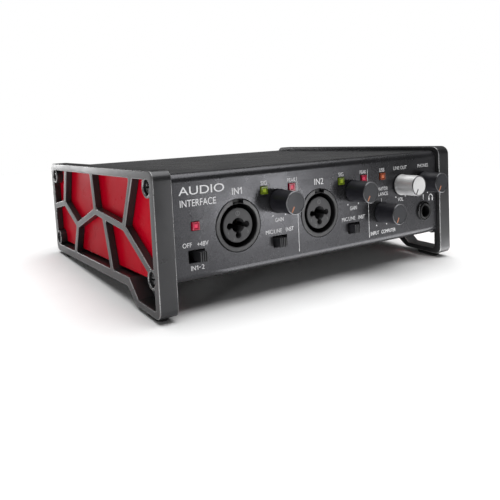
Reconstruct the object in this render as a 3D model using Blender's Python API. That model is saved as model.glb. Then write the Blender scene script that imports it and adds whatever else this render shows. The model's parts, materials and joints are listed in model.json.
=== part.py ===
"""Desktop audio interface: a sheet-metal case held between two cast side frames.

Everything is drawn in the case's own axes: X to the right, Y to the back, Z up, with the origin
at the side frames' top front corner. The empty "case_axes" leans those axes back by TILT, and
"on_the_table" moves the whole device so that its feet stand on Z = 0 and its box is centred.
"""
import math

import bmesh
import bpy
from mathutils import Vector

MM = 0.001

# Overall sizes
TILT = math.radians(3.6)
HALF_WIDTH = 93.0 * MM
FRAME_THICKNESS = 8.6 * MM
FRAME_LENGTH = 150.0 * MM
FRAME_REAR_LENGTH = 147.6 * MM
FRAME_REAR_HEIGHT = 53.9 * MM
FOOT_HEIGHT = 62.3 * MM
FOOT_LENGTH = 25.0 * MM
FOOT_RAMP_START = 33.8 * MM
PAD_THICKNESS = 1.85 * MM
GAP = 0.3 * MM
RUNNING_GAP = 0.08 * MM

# Side frame lattice
LATTICE_DEPTH = 3.6 * MM
BORDER = 3.9 * MM
RIB = 3.4 * MM
CELL_FLOOR = -49.4 * MM
SCREW_PLACES = [
    (7.0 * MM, -7.0 * MM),
    (6.6 * MM, -45.6 * MM),
    (142.8 * MM, -7.2 * MM),
    (143.0 * MM, -45.6 * MM),
]
BOSS_RADIUS = 4.6 * MM
SCREW_HEAD_RADIUS = 2.9 * MM
SCREW_SHANK_RADIUS = 1.5 * MM
SCREW_RECESS_RADIUS = 3.3 * MM

# Case
SHEET = 1.5 * MM
CASE_HALF_WIDTH = HALF_WIDTH - FRAME_THICKNESS - GAP
CASE_TOP = -2.2 * MM
CASE_BOTTOM = -49.1 * MM
PANEL = 2.2 * MM
PANEL_BACK = PANEL + SHEET
CASE_REAR = 147.3 * MM
REAR_PANEL = 145.8 * MM
EDGE_RADIUS = 3.8 * MM

# Front panel layout: x, z
KNOB_ROW = -19.0 * MM
LED_ROW = -13.3 * MM
SWITCH_ROW = -38.0 * MM
JACK_ROW = -27.6 * MM
COMBO_PLACES = {"combo_jack_1": (-51.4 * MM, JACK_ROW), "combo_jack_2": (-3.6 * MM, JACK_ROW)}
KNOB_PLACES = {
    "gain_1": (-28.6 * MM, KNOB_ROW),
    "gain_2": (18.9 * MM, KNOB_ROW),
    "monitor_balance": (39.2 * MM, -32.3 * MM),
    "line_out": (54.5 * MM, KNOB_ROW),
    "phones": (73.0 * MM, KNOB_ROW),
}
SWITCH_PLACES = {
    "phantom_power": (-73.4 * MM, SWITCH_ROW, 1),
    "input_1": (-28.6 * MM, SWITCH_ROW, -1),
    "input_2": (19.0 * MM, SWITCH_ROW, -1),
}
LED_PLACES = {
    "phantom_power_led": (-73.4 * MM, -25.0 * MM, (0.85, 0.03, 0.12)),
    "signal_1_led": (-36.8 * MM, LED_ROW, (0.45, 0.65, 0.05)),
    "peak_1_led": (-20.7 * MM, LED_ROW, (0.85, 0.05, 0.15)),
    "signal_2_led": (11.0 * MM, LED_ROW, (0.45, 0.65, 0.05)),
    "peak_2_led": (26.7 * MM, LED_ROW, (0.85, 0.05, 0.15)),
    "usb_led": (40.5 * MM, LED_ROW, (0.85, 0.3, 0.08)),
}
PHONES_JACK_PLACE = (73.0 * MM, -35.5 * MM)

# Knobs, shafts and potentiometers
KNOB_FRONT = PANEL - 12.8 * MM
KNOB_BACK = PANEL - 0.8 * MM
KNOB_RADIUS = 5.4 * MM
KNOB_SKIRT_RADIUS = 5.7 * MM
SHAFT_RADIUS = 2.7 * MM
SHAFT_FRONT = -6.5 * MM
SHAFT_BACK = 12.0 * MM
BUSHING_RADIUS = 3.7 * MM
BUSHING_FRONT = 0.6 * MM
POT_FRONT = 8.0 * MM
POT_BACK = 14.0 * MM
POT_HALF_SIZE = 4.9 * MM

# Boards
FRONT_BOARD = 14.3 * MM
BOARD_THICKNESS = 1.6 * MM
MAIN_BOARD_TOP = -43.2 * MM

# Slide switches
SLOT_HALF_WIDTH = 4.0 * MM
SLOT_HALF_HEIGHT = 2.75 * MM
SLIDER_WIDTH = 3.6 * MM
SLIDER_HEIGHT = 4.4 * MM
SLIDER_FRONT = PANEL - 4.2 * MM
SLIDER_BACK = 8.2 * MM
SLIDER_TRAVEL = 2.6 * MM

# LED lenses
LENS_HALF_SIZE = 1.8 * MM
LENS_FRONT = PANEL - 0.8 * MM
LENS_HOLE = 2.1 * MM

# Combo jacks (round face 23.5 mm across, square housing behind)
COMBO_RING = 11.75 * MM
COMBO_HOLE = 12.1 * MM
COMBO_SLOT_OUTER = 9.4 * MM
COMBO_SLOT_INNER = 7.7 * MM
COMBO_FACE = PANEL - 0.3 * MM
COMBO_HOUSING_FRONT = 4.1 * MM
COMBO_DEPTH = 34.0 * MM
COMBO_HALF_SIZE = 12.2 * MM
COMBO_SLOT_DEPTH = 16.0 * MM
COMBO_JACK_HOLE = 3.4 * MM
COMBO_PIN_CIRCLE = 4.3 * MM
COMBO_PIN_HOLE = 1.55 * MM
COMBO_KEY_HALF_WIDTH = 2.5 * MM

# Quarter-inch jacks
JACK_BORE = 3.3 * MM
JACK_BUSHING = 4.4 * MM
JACK_PANEL_HOLE = 4.7 * MM
JACK_NUT = 5.4 * MM
JACK_NUT_THICKNESS = 1.0 * MM
JACK_HALF_SIZE = 6.8 * MM
JACK_DEPTH = 30.0 * MM

# Rear panel layout
LINE_OUT_PLACES = {"line_out_left": (-66.0 * MM, -26.0 * MM), "line_out_right": (-44.0 * MM, -26.0 * MM)}
MIDI_PLACES = {"midi_in": (-10.0 * MM, -26.0 * MM), "midi_out": (18.0 * MM, -26.0 * MM)}
MIDI_RADIUS = 7.6 * MM
USB_PLACE = (44.0 * MM, -30.0 * MM)
DC_PLACE = (66.0 * MM, -30.0 * MM)

DIRECTIONS = {"x": (1, 2, 0), "y": (0, 2, 1), "z": (0, 1, 2)}


def clear_scene():
    for obj in list(bpy.data.objects):
        bpy.data.objects.remove(obj, do_unlink=True)


def new_empty(name, parent=None):
    empty = bpy.data.objects.new(name, None)
    empty.parent = parent
    bpy.context.scene.collection.objects.link(empty)
    return empty


def new_object(name, bm, parent, place=(0.0, 0.0, 0.0)):
    """Make a named object from a bmesh, at a place in its parent's axes."""
    bmesh.ops.recalc_face_normals(bm, faces=bm.faces)
    if bm.calc_volume(signed=True) < 0:
        bmesh.ops.reverse_faces(bm, faces=bm.faces)
    mesh = bpy.data.meshes.new(name)
    bm.to_mesh(mesh)
    bm.free()
    obj = bpy.data.objects.new(name, mesh)
    obj.location = place
    obj.parent = parent
    bpy.context.scene.collection.objects.link(obj)
    return obj


def new_cutter(name, bm, parent, place=(0.0, 0.0, 0.0)):
    obj = new_object(name + "_cutter", bm, parent, place)
    obj.hide_render = True
    obj.display_type = "WIRE"
    return obj


def boolean(obj, other, operation="DIFFERENCE"):
    modifier = obj.modifiers.new(operation.lower(), "BOOLEAN")
    modifier.operation = operation
    modifier.solver = "EXACT"
    modifier.object = other


def bevel(obj, width, segments=1, angle=50):
    modifier = obj.modifiers.new("edges", "BEVEL")
    modifier.width = width
    modifier.segments = segments
    modifier.limit_method = "ANGLE"
    modifier.angle_limit = math.radians(angle)


def finish(obj, color, roughness, metallic=0.0, smooth=False):
    """Give an object its own Principled material."""
    material = bpy.data.materials.new(obj.name)
    material.use_nodes = True
    shader = material.node_tree.nodes["Principled BSDF"]
    shader.inputs["Base Color"].default_value = (*color, 1.0)
    shader.inputs["Roughness"].default_value = roughness
    shader.inputs["Metallic"].default_value = metallic
    obj.data.materials.append(material)
    if smooth:
        obj.data.shade_smooth()
        obj.data.set_sharp_from_angle(angle=math.radians(40))
    return obj


def circle(a, b, radius, steps):
    angles = [2 * math.pi * (k + 0.5) / steps for k in range(steps)]
    return [(a + radius * math.cos(t), b + radius * math.sin(t)) for t in angles]


def rectangle(low_a, low_b, high_a, high_b):
    return [(low_a, low_b), (high_a, low_b), (high_a, high_b), (low_a, high_b)]


def rounded(corners, steps=3):
    """Round a polygon's corners. Each corner is (a, b, radius)."""
    points = []
    for index, (a, b, radius) in enumerate(corners):
        here = Vector((a, b))
        before = (Vector(corners[index - 1][:2]) - here).normalized()
        after = (Vector(corners[(index + 1) % len(corners)][:2]) - here).normalized()
        half_angle = before.angle(after) / 2
        centre = here + (before + after).normalized() * radius / math.sin(half_angle)
        reach = radius / math.tan(half_angle)
        start = here + before * reach - centre
        end = here + after * reach - centre
        first = math.atan2(start.y, start.x)
        sweep = math.remainder(math.atan2(end.y, end.x) - first, 2 * math.pi)
        angles = [first + sweep * k / steps for k in range(steps + 1)]
        points += [(centre.x + radius * math.cos(t), centre.y + radius * math.sin(t)) for t in angles]
    return points


def crossing(first, second):
    """Where two lines meet, each given as a point and a direction."""
    (p, d), (q, e) = first, second
    step = (q - p).cross(e) / d.cross(e)
    return p + d * step


def inset(corners, margins):
    """Move each side of a polygon inwards by its own margin."""
    pairs = list(zip(corners, corners[1:] + corners[:1]))
    area = sum(a[0] * b[1] - b[0] * a[1] for a, b in pairs)
    lines = []
    for (here, there), margin in zip(pairs, margins):
        along = (Vector(there) - Vector(here)).normalized()
        inward = Vector((-along.y, along.x)) * math.copysign(1, area)
        lines.append((Vector(here) + inward * margin, along))
    return [crossing(lines[k - 1], lines[k]) for k in range(len(lines))]


def prism(bm, outline, axis, low, high):
    """Extrude an outline along an axis; its two coordinates lie on the other two axes, in order."""
    first, second, along = DIRECTIONS[axis]
    verts = []
    for a, b in outline:
        point = Vector((0.0, 0.0, 0.0))
        point[first] = a
        point[second] = b
        point[along] = low
        verts.append(bm.verts.new(point))
    base = bm.faces.new(verts)
    geometry = bmesh.ops.extrude_face_region(bm, geom=[base])["geom"]
    shift = Vector((0.0, 0.0, 0.0))
    shift[along] = high - low
    moved = [item for item in geometry if isinstance(item, bmesh.types.BMVert)]
    bmesh.ops.translate(bm, vec=shift, verts=moved)


def box(bm, low, high):
    prism(bm, rectangle(low[0], low[2], high[0], high[2]), "y", low[1], high[1])


def tube(bm, place, outer, inner, front, back, steps):
    """A ring along Y: a closed tube wall between two radii."""
    rings = []
    for radius, y in ((outer, front), (outer, back), (inner, back), (inner, front)):
        rings.append([bm.verts.new((x, y, z)) for x, z in circle(*place, radius, steps)])
    for ring, following in zip(rings, rings[1:] + rings[:1]):
        for k in range(steps):
            n = (k + 1) % steps
            bm.faces.new((ring[k], ring[n], following[n], following[k]))


def frame_bottom(y):
    """Height of the foot's underside: level on the table although the case leans back."""
    return -FOOT_HEIGHT + y * math.tan(TILT)


def table(y):
    return frame_bottom(y) - GAP - PAD_THICKNESS


def frame_outline():
    corners = [
        (0.0, 0.0, 4.5 * MM),
        (FRAME_LENGTH, 0.0, 4.5 * MM),
        (FRAME_REAR_LENGTH, -FRAME_REAR_HEIGHT, 4.5 * MM),
        (FOOT_RAMP_START, -FRAME_REAR_HEIGHT, 6.0 * MM),
        (FOOT_LENGTH, frame_bottom(FOOT_LENGTH), 5.0 * MM),
        (0.0, frame_bottom(0.0), 4.0 * MM),
    ]
    return rounded(corners, steps=4)


def lattice_cells():
    """Outlines of the seven openings between the ribs, as (y, z) polygons."""
    top = -BORDER
    front = 4.5 * MM
    rear_top = (145.6 * MM, top)
    rear_low = (143.6 * MM, CELL_FLOOR)
    rear_end = (144.7 * MM, -25.9 * MM)
    rear_joint = (126.0 * MM, -22.7 * MM)
    low_joint = (103.3 * MM, -33.4 * MM)
    middle_joint = (72.8 * MM, -22.9 * MM)
    branch_joint = (61.0 * MM, -24.2 * MM)
    front_joint = (35.0 * MM, -26.8 * MM)
    front_end = (front, -44.9 * MM)
    rear_rib_top = (120.5 * MM, top)
    middle_rib_top = (75.9 * MM, top)
    front_rib_top = (23.7 * MM, top)
    low_rib_foot = (110.5 * MM, CELL_FLOOR)
    branch_foot = (53.4 * MM, CELL_FLOOR)
    ramp_top = (32.2 * MM, CELL_FLOOR)
    ramp_foot = (23.1 * MM, -57.9 * MM)
    toe = (front, -58.8 * MM)
    half = RIB / 2
    cells = [
        ([rear_rib_top, rear_top, rear_end, rear_joint], [0, 0, half, half]),
        ([rear_joint, rear_end, rear_low, low_rib_foot, low_joint], [half, 0, 0, half, half]),
        ([rear_rib_top, rear_joint, low_joint, middle_joint, middle_rib_top], [half, half, half, half, 0]),
        ([low_joint, low_rib_foot, branch_foot, branch_joint, middle_joint], [half, 0, half, half, half]),
        ([middle_rib_top, middle_joint, front_joint, front_rib_top], [half, half, half, 0]),
        ([front_rib_top, front_joint, front_end, (front, top)], [half, half, 0, 0]),
        ([branch_joint, branch_foot, ramp_top, ramp_foot, toe, front_end, front_joint],
         [half, 0, 0, 0, 0, half, half]),
    ]
    corner = 1.2 * MM
    return [rounded([(*point, corner) for point in inset(*cell)], steps=2) for cell in cells]


def insert_outline(shrink):
    """Outline of the coloured insert behind the lattice."""
    low = CELL_FLOOR + 1.3 * MM
    corners = [
        (3.2 * MM + shrink, -2.8 * MM - shrink, 4.0 * MM),
        (146.6 * MM - shrink, -2.8 * MM - shrink, 4.0 * MM),
        (144.6 * MM - shrink, low + shrink, 4.0 * MM),
        (3.2 * MM + shrink, low + shrink, 4.0 * MM),
    ]
    return rounded(corners)


def boss_cutter(name, axes, side, radius):
    bm = bmesh.new()
    low, high = sorted((side * (HALF_WIDTH + 5 * MM), side * (CASE_HALF_WIDTH - 5 * MM)))
    for y, z in SCREW_PLACES:
        prism(bm, circle(y, z, radius, 20), "x", low, high)
    return new_cutter(name, bm, axes)


def side_frame(name, axes, side):
    outer = side * HALF_WIDTH
    inner = side * (HALF_WIDTH - FRAME_THICKNESS)
    bm = bmesh.new()
    prism(bm, frame_outline(), "x", *sorted((outer, inner)))
    frame = new_object(name, bm, axes)
    bevel(frame, 0.5 * MM)

    bm = bmesh.new()
    low, high = sorted((outer + side * MM, outer - side * 2.4 * MM))
    for y, z in SCREW_PLACES:
        prism(bm, circle(y, z, SCREW_RECESS_RADIUS, 20), "x", low, high)
    boolean(frame, new_cutter(name + "_recesses", bm, axes))
    bm = bmesh.new()
    for y, z in SCREW_PLACES:
        prism(bm, circle(y, z, SCREW_SHANK_RADIUS + GAP, 12), "x", *sorted((outer, inner - side * MM)))
    boolean(frame, new_cutter(name + "_screw_holes", bm, axes))

    bosses = boss_cutter(name + "_bosses", axes, side, BOSS_RADIUS)
    bm = bmesh.new()
    for cell in lattice_cells():
        prism(bm, cell, "x", *sorted((outer + side * MM, inner - side * MM)))
    cells = new_cutter(name + "_cells", bm, axes)
    boolean(cells, bosses)
    boolean(frame, cells)

    bm = bmesh.new()
    prism(bm, insert_outline(0.0), "x", *sorted((outer - side * LATTICE_DEPTH, inner - side * MM)))
    pocket = new_cutter(name + "_pocket", bm, axes)
    boolean(pocket, bosses)
    boolean(frame, pocket)
    return finish(frame, (0.09, 0.09, 0.095), 0.42, 0.6)


def side_insert(name, axes, side):
    face = HALF_WIDTH - LATTICE_DEPTH - GAP
    back = CASE_HALF_WIDTH + 2 * GAP
    bm = bmesh.new()
    prism(bm, insert_outline(GAP), "x", *sorted((side * face, side * back)))
    insert = new_object(name, bm, axes)
    boolean(insert, boss_cutter(name + "_bosses", axes, side, BOSS_RADIUS + GAP))
    return finish(insert, (0.42, 0.0, 0.025), 0.22)


def side_screw(name, axes, side, y, z):
    """Round-headed screw with a cross recess, along X."""
    head = HALF_WIDTH - 0.5 * MM
    shoulder = head - 1.6 * MM
    tip = CASE_HALF_WIDTH - 3.0 * MM
    bm = bmesh.new()
    prism(bm, circle(0, 0, SCREW_HEAD_RADIUS, 16), "x", *sorted((side * head, side * shoulder)))
    screw = new_object(name, bm, axes, (0.0, y, z))
    bevel(screw, 0.5 * MM)
    bm = bmesh.new()
    prism(bm, circle(0, 0, SCREW_SHANK_RADIUS, 12), "x", *sorted((side * (head - MM), side * tip)))
    boolean(screw, new_cutter(name + "_shank", bm, axes, (0.0, y, z)), "UNION")
    arm = 1.7 * MM
    width = 0.4 * MM
    cross = [(arm, width), (width, width), (width, arm), (-width, arm), (-width, width), (-arm, width),
             (-arm, -width), (-width, -width), (-width, -arm), (width, -arm), (width, -width), (arm, -width)]
    bm = bmesh.new()
    prism(bm, cross, "x", *sorted((side * (head + MM), side * (head - 0.9 * MM))))
    boolean(screw, new_cutter(name + "_cross", bm, axes, (0.0, y, z)))
    return finish(screw, (0.03, 0.03, 0.032), 0.35, 0.8)


def foot_pad(name, axes, side, y, underside):
    """Rubber pad with round ends under a side frame; its bottom is level with the table."""
    half_length = 6.5 * MM
    half_width = 3.0 * MM
    x = side * (HALF_WIDTH - FRAME_THICKNESS / 2)
    corners = [(x + a * half_width, y + b * half_length, half_width * 0.99)
               for a, b in ((-1, -1), (1, -1), (1, 1), (-1, 1))]
    outline = rounded(corners, steps=4)
    bm = bmesh.new()
    top = [bm.verts.new((a, b, underside(b) - GAP)) for a, b in outline]
    bottom = [bm.verts.new((a, b, table(b))) for a, b in outline]
    bm.faces.new(top)
    bm.faces.new(bottom)
    for k in range(len(outline)):
        n = (k + 1) % len(outline)
        bm.faces.new((top[k], top[n], bottom[n], bottom[k]))
    return finish(new_object(name, bm, axes), (0.02, 0.02, 0.02), 0.8)


def cover_profile():
    """Bent sheet seen from the side: short lower lip, front panel and top."""
    outer = EDGE_RADIUS
    inner = EDGE_RADIUS - SHEET
    lip = PANEL + 4.6 * MM
    top_front = [(PANEL, CASE_TOP, outer)]
    low_front = [(PANEL, CASE_BOTTOM, outer)]
    sharp = 0.05 * MM
    corners = [(CASE_REAR + 0.5 * MM, CASE_TOP, sharp)] + top_front + low_front + [
        (lip, CASE_BOTTOM, sharp),
        (lip, CASE_BOTTOM + SHEET, sharp),
        (PANEL_BACK, CASE_BOTTOM + SHEET, inner),
        (PANEL_BACK, CASE_TOP - SHEET, inner),
        (CASE_REAR + 0.5 * MM, CASE_TOP - SHEET, sharp),
    ]
    points = []
    for index, (y, z, radius) in enumerate(corners):
        if radius == sharp:
            points.append((y, z))
        else:
            neighbours = [corners[index - 1], corners[index], corners[(index + 1) % len(corners)]]
            points += rounded(neighbours, steps=5)[6:12]
    return points


def front_top_cover(axes):
    bm = bmesh.new()
    prism(bm, cover_profile(), "x", -CASE_HALF_WIDTH, CASE_HALF_WIDTH)
    cover = new_object("front_top_cover", bm, axes)
    front, back = PANEL - 2 * MM, PANEL_BACK + 2 * MM
    bm = bmesh.new()
    for x, z in COMBO_PLACES.values():
        prism(bm, circle(x, z, COMBO_HOLE, 32), "y", front, back)
    for x, z in KNOB_PLACES.values():
        prism(bm, circle(x, z, BUSHING_RADIUS + GAP, 16), "y", front, back)
    windows = [(x, z, SLOT_HALF_WIDTH, SLOT_HALF_HEIGHT) for x, z, _ in SWITCH_PLACES.values()]
    windows += [(x, z, LENS_HOLE, LENS_HOLE) for x, z, _ in LED_PLACES.values()]
    for x, z, half_width, half_height in windows:
        outline = rectangle(x - half_width, z - half_height, x + half_width, z + half_height)
        prism(bm, outline, "y", front, back)
    prism(bm, circle(*PHONES_JACK_PLACE, JACK_PANEL_HOLE, 20), "y", front, back)
    boolean(cover, new_cutter("front_panel_holes", bm, axes))
    return finish(cover, (0.1, 0.1, 0.11), 0.5, 0.5)


def bottom_chassis(axes):
    """Tray with side walls, floor and rear panel; the cover closes its front and top."""
    wall_top = CASE_TOP - SHEET - 2 * GAP
    floor = CASE_BOTTOM + SHEET
    lip_clear = PANEL + 4.9 * MM
    front = PANEL_BACK + GAP
    outline = [
        (front, wall_top - 2.4 * MM),
        (front + 2.4 * MM, wall_top),
        (CASE_REAR, wall_top),
        (CASE_REAR, CASE_BOTTOM),
        (lip_clear, CASE_BOTTOM),
        (lip_clear, floor + GAP),
        (front, floor + 2.6 * MM),
    ]
    bm = bmesh.new()
    prism(bm, outline, "x", -CASE_HALF_WIDTH, CASE_HALF_WIDTH)
    chassis = new_object("bottom_chassis", bm, axes)
    bm = bmesh.new()
    inner = CASE_HALF_WIDTH - SHEET
    box(bm, (-inner, -5 * MM, floor), (inner, REAR_PANEL, 5 * MM))
    boolean(chassis, new_cutter("chassis_inside", bm, axes))

    bm = bmesh.new()
    for x in (-70 * MM, 70 * MM):
        for y in (26 * MM, 126 * MM):
            prism(bm, circle(x, y, 3 * MM, 12), "z", floor - 0.5 * MM, MAIN_BOARD_TOP - BOARD_THICKNESS - GAP)
    boolean(chassis, new_cutter("board_posts", bm, axes), "UNION")

    bm = bmesh.new()
    reach = CASE_HALF_WIDTH + 2 * MM
    for y, z in SCREW_PLACES:
        prism(bm, circle(y, z, SCREW_SHANK_RADIUS + GAP, 12), "x", -reach, reach)
    boolean(chassis, new_cutter("chassis_screw_holes", bm, axes))

    bm = bmesh.new()
    front, back = REAR_PANEL - MM, CASE_REAR + MM
    for x, z in LINE_OUT_PLACES.values():
        prism(bm, circle(x, z, JACK_PANEL_HOLE, 20), "y", front, back)
    for x, z in MIDI_PLACES.values():
        prism(bm, circle(x, z, MIDI_RADIUS + GAP, 24), "y", front, back)
    x, z = USB_PLACE
    box(bm, (x - 5.0 * MM, front, z - 2.1 * MM), (x + 5.0 * MM, back, z + 2.1 * MM))
    prism(bm, circle(*DC_PLACE, 4.4 * MM, 20), "y", front, back)
    boolean(chassis, new_cutter("rear_panel_holes", bm, axes))
    return finish(chassis, (0.03, 0.03, 0.032), 0.5, 0.5)


def main_circuit_board(axes):
    bm = bmesh.new()
    low = (-78 * MM, 20 * MM, MAIN_BOARD_TOP - BOARD_THICKNESS)
    box(bm, low, (78 * MM, 134 * MM, MAIN_BOARD_TOP))
    return finish(new_object("main_circuit_board", bm, axes), (0.01, 0.09, 0.03), 0.4)


def front_circuit_board(axes):
    """Upright board behind the front panel, cut out around the jacks."""
    back = FRONT_BOARD + BOARD_THICKNESS
    bm = bmesh.new()
    box(bm, (-81 * MM, FRONT_BOARD, -42.6 * MM), (81 * MM, back, -6 * MM))
    board = new_object("front_circuit_board", bm, axes)
    bm = bmesh.new()
    window = COMBO_HALF_SIZE + 0.6 * MM
    for x, z in COMBO_PLACES.values():
        box(bm, (x - window, FRONT_BOARD - MM, z - window), (x + window, back + MM, z + window))
    x, z = PHONES_JACK_PLACE
    window = JACK_HALF_SIZE + 0.6 * MM
    box(bm, (x - window, FRONT_BOARD - MM, z - 20 * MM), (x + 20 * MM, back + MM, z + window))
    boolean(board, new_cutter("front_board_windows", bm, axes))
    return finish(board, (0.01, 0.09, 0.03), 0.4)


def combo_jack(name, axes, x, z):
    """Combined XLR and quarter-inch socket, with its origin on its axis."""
    place = (x, 0.0, z)
    size = COMBO_HALF_SIZE
    bm = bmesh.new()
    box(bm, (-size, COMBO_HOUSING_FRONT, -size), (size, COMBO_DEPTH, size))
    jack = new_object(name, bm, axes, place)
    bm = bmesh.new()
    prism(bm, circle(0, 0, COMBO_RING, 32), "y", COMBO_FACE, COMBO_HOUSING_FRONT + MM)
    boolean(jack, new_cutter(name + "_ring", bm, axes, place), "UNION")
    bm = bmesh.new()
    tube(bm, (0, 0), COMBO_SLOT_OUTER, COMBO_SLOT_INNER, COMBO_FACE - MM, COMBO_SLOT_DEPTH, 32)
    boolean(jack, new_cutter(name + "_slot", bm, axes, place))
    bm = bmesh.new()
    key = COMBO_KEY_HALF_WIDTH
    low = (-key, COMBO_FACE - MM, COMBO_SLOT_OUTER - MM)
    box(bm, low, (key, COMBO_SLOT_DEPTH - MM, COMBO_SLOT_OUTER + 1.5 * MM))
    boolean(jack, new_cutter(name + "_key", bm, axes, place))
    bm = bmesh.new()
    prism(bm, circle(0, 0, COMBO_SLOT_OUTER - 1.2 * MM, 32), "y", COMBO_FACE - MM, PANEL + MM)
    boolean(jack, new_cutter(name + "_sunk_face", bm, axes, place))
    bm = bmesh.new()
    prism(bm, circle(0, 0, COMBO_JACK_HOLE, 20), "y", COMBO_FACE - MM, COMBO_DEPTH - 3 * MM)
    boolean(jack, new_cutter(name + "_bore", bm, axes, place))
    bm = bmesh.new()
    for turn in (0.0, math.pi, 1.5 * math.pi):
        a, b = COMBO_PIN_CIRCLE * math.cos(turn), COMBO_PIN_CIRCLE * math.sin(turn)
        prism(bm, circle(a, b, COMBO_PIN_HOLE, 12), "y", COMBO_FACE - MM, COMBO_SLOT_DEPTH - 2 * MM)
    boolean(jack, new_cutter(name + "_pin_holes", bm, axes, place))
    return finish(jack, (0.02, 0.02, 0.022), 0.45)


def potentiometer(name, axes, x, z):
    """Square pot body with a bushing through the panel and a blind bore for the shaft."""
    place = (x, 0.0, z)
    size = POT_HALF_SIZE
    bm = bmesh.new()
    box(bm, (-size, POT_FRONT, -size), (size, POT_BACK, size))
    pot = new_object(name, bm, axes, place)
    bm = bmesh.new()
    prism(bm, circle(0, 0, BUSHING_RADIUS, 16), "y", BUSHING_FRONT, POT_FRONT + MM)
    boolean(pot, new_cutter(name + "_bushing", bm, axes, place), "UNION")
    bm = bmesh.new()
    prism(bm, circle(0, 0, SHAFT_RADIUS + RUNNING_GAP, 16), "y", BUSHING_FRONT - MM, SHAFT_BACK + GAP)
    boolean(pot, new_cutter(name + "_bore", bm, axes, place))
    return finish(pot, (0.25, 0.25, 0.26), 0.4, 0.8)


def knob_shaft(name, axes, x, z):
    """Potentiometer shaft with a D flat at its knob end, its origin on the turning axis."""
    place = (x, 0.0, z)
    bm = bmesh.new()
    prism(bm, circle(0, 0, SHAFT_RADIUS, 16), "y", SHAFT_FRONT, SHAFT_BACK)
    shaft = new_object(name, bm, axes, place)
    bm = bmesh.new()
    flat = SHAFT_RADIUS - 0.8 * MM
    box(bm, (-4 * MM, SHAFT_FRONT - MM, flat), (4 * MM, -0.5 * MM, 4 * MM))
    boolean(shaft, new_cutter(name + "_flat", bm, axes, place))
    return finish(shaft, (0.6, 0.6, 0.62), 0.3, 1.0)


def knob(name, axes, x, z, color):
    """Turned knob with a slight skirt, a chamfered front and a hollow back, its origin on its axis."""
    place = (x, 0.0, z)
    steps = 28
    hollow = 4.2 * MM
    hollow_end = -1.0 * MM
    bore = SHAFT_RADIUS + GAP
    bore_end = SHAFT_FRONT - GAP
    chamfer = 0.4 * MM
    profile = [
        (KNOB_RADIUS - chamfer, KNOB_FRONT), (KNOB_RADIUS, KNOB_FRONT + chamfer),
        (KNOB_RADIUS, KNOB_BACK - 2.5 * MM), (KNOB_SKIRT_RADIUS, KNOB_BACK),
        (hollow, KNOB_BACK), (hollow, hollow_end), (bore, hollow_end), (bore, bore_end),
    ]
    bm = bmesh.new()
    rings = [[bm.verts.new((a, y, b)) for a, b in circle(0, 0, radius, steps)] for radius, y in profile]
    for ring, following in zip(rings, rings[1:]):
        for k in range(steps):
            n = (k + 1) % steps
            bm.faces.new((ring[k], ring[n], following[n], following[k]))
    bm.faces.new(rings[0])
    bm.faces.new(rings[-1])
    return finish(new_object(name, bm, axes, place), color, 0.45, smooth=True)


def slide_switch(name, axes, x, z):
    """Switch body behind the panel slot, open towards the front."""
    bm = bmesh.new()
    box(bm, (x - 6 * MM, PANEL_BACK + GAP, z - 4.2 * MM), (x + 6 * MM, 10 * MM, z + 4.2 * MM))
    switch = new_object(name, bm, axes)
    bm = bmesh.new()
    low = (x - SLOT_HALF_WIDTH, PANEL, z - SLOT_HALF_HEIGHT)
    box(bm, low, (x + SLOT_HALF_WIDTH, SLIDER_BACK + GAP, z + SLOT_HALF_HEIGHT))
    boolean(switch, new_cutter(name + "_slot", bm, axes))
    return finish(switch, (0.02, 0.02, 0.02), 0.5)


def switch_slider(name, axes, x, z, side):
    """Slider at one end of its slot: side +1 is the right end, -1 the left."""
    half_height = SLIDER_HEIGHT / 2
    place = (x + side * SLIDER_TRAVEL / 2, 0.0, z)
    bm = bmesh.new()
    box(bm, (-SLIDER_WIDTH / 2, SLIDER_FRONT, -half_height), (SLIDER_WIDTH / 2, SLIDER_BACK, half_height))
    slider = new_object(name, bm, axes, place)
    bm = bmesh.new()
    for k in (-1, 0, 1):
        a = k * 1.1 * MM
        box(bm, (a - 0.25 * MM, SLIDER_FRONT - MM, -3 * MM), (a + 0.25 * MM, SLIDER_FRONT + 0.4 * MM, 3 * MM))
    boolean(slider, new_cutter(name + "_grooves", bm, axes, place))
    return finish(slider, (0.02, 0.02, 0.02), 0.4)


def led_lens(name, axes, x, z, color):
    size = LENS_HALF_SIZE
    bm = bmesh.new()
    box(bm, (x - size, LENS_FRONT, z - size), (x + size, FRONT_BOARD - GAP, z + size))
    lens = new_object(name, bm, axes)
    bevel(lens, 0.35 * MM)
    return finish(lens, color, 0.2)


def quarter_inch_jack(name, axes, place, panel_face, panel_back, facing):
    """Quarter-inch socket behind a panel. facing is -1 for a front panel and +1 for a rear one."""
    x, z = place
    origin = (x, 0.0, z)
    size = JACK_HALF_SIZE
    mouth = panel_face + facing * 1.6 * MM
    shoulder = panel_back - facing * GAP
    end = shoulder - facing * JACK_DEPTH
    bm = bmesh.new()
    low, high = sorted((shoulder, end))
    box(bm, (-size, low, -size), (size, high, size))
    jack = new_object(name, bm, axes, origin)
    bm = bmesh.new()
    prism(bm, circle(0, 0, JACK_BUSHING, 20), "y", *sorted((mouth, shoulder - facing * MM)))
    boolean(jack, new_cutter(name + "_bushing", bm, axes, origin), "UNION")
    bm = bmesh.new()
    prism(bm, circle(0, 0, JACK_BORE, 20), "y", *sorted((mouth + facing * MM, end + facing * 2 * MM)))
    boolean(jack, new_cutter(name + "_bore", bm, axes, origin))
    return finish(jack, (0.02, 0.02, 0.02), 0.45)


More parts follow.
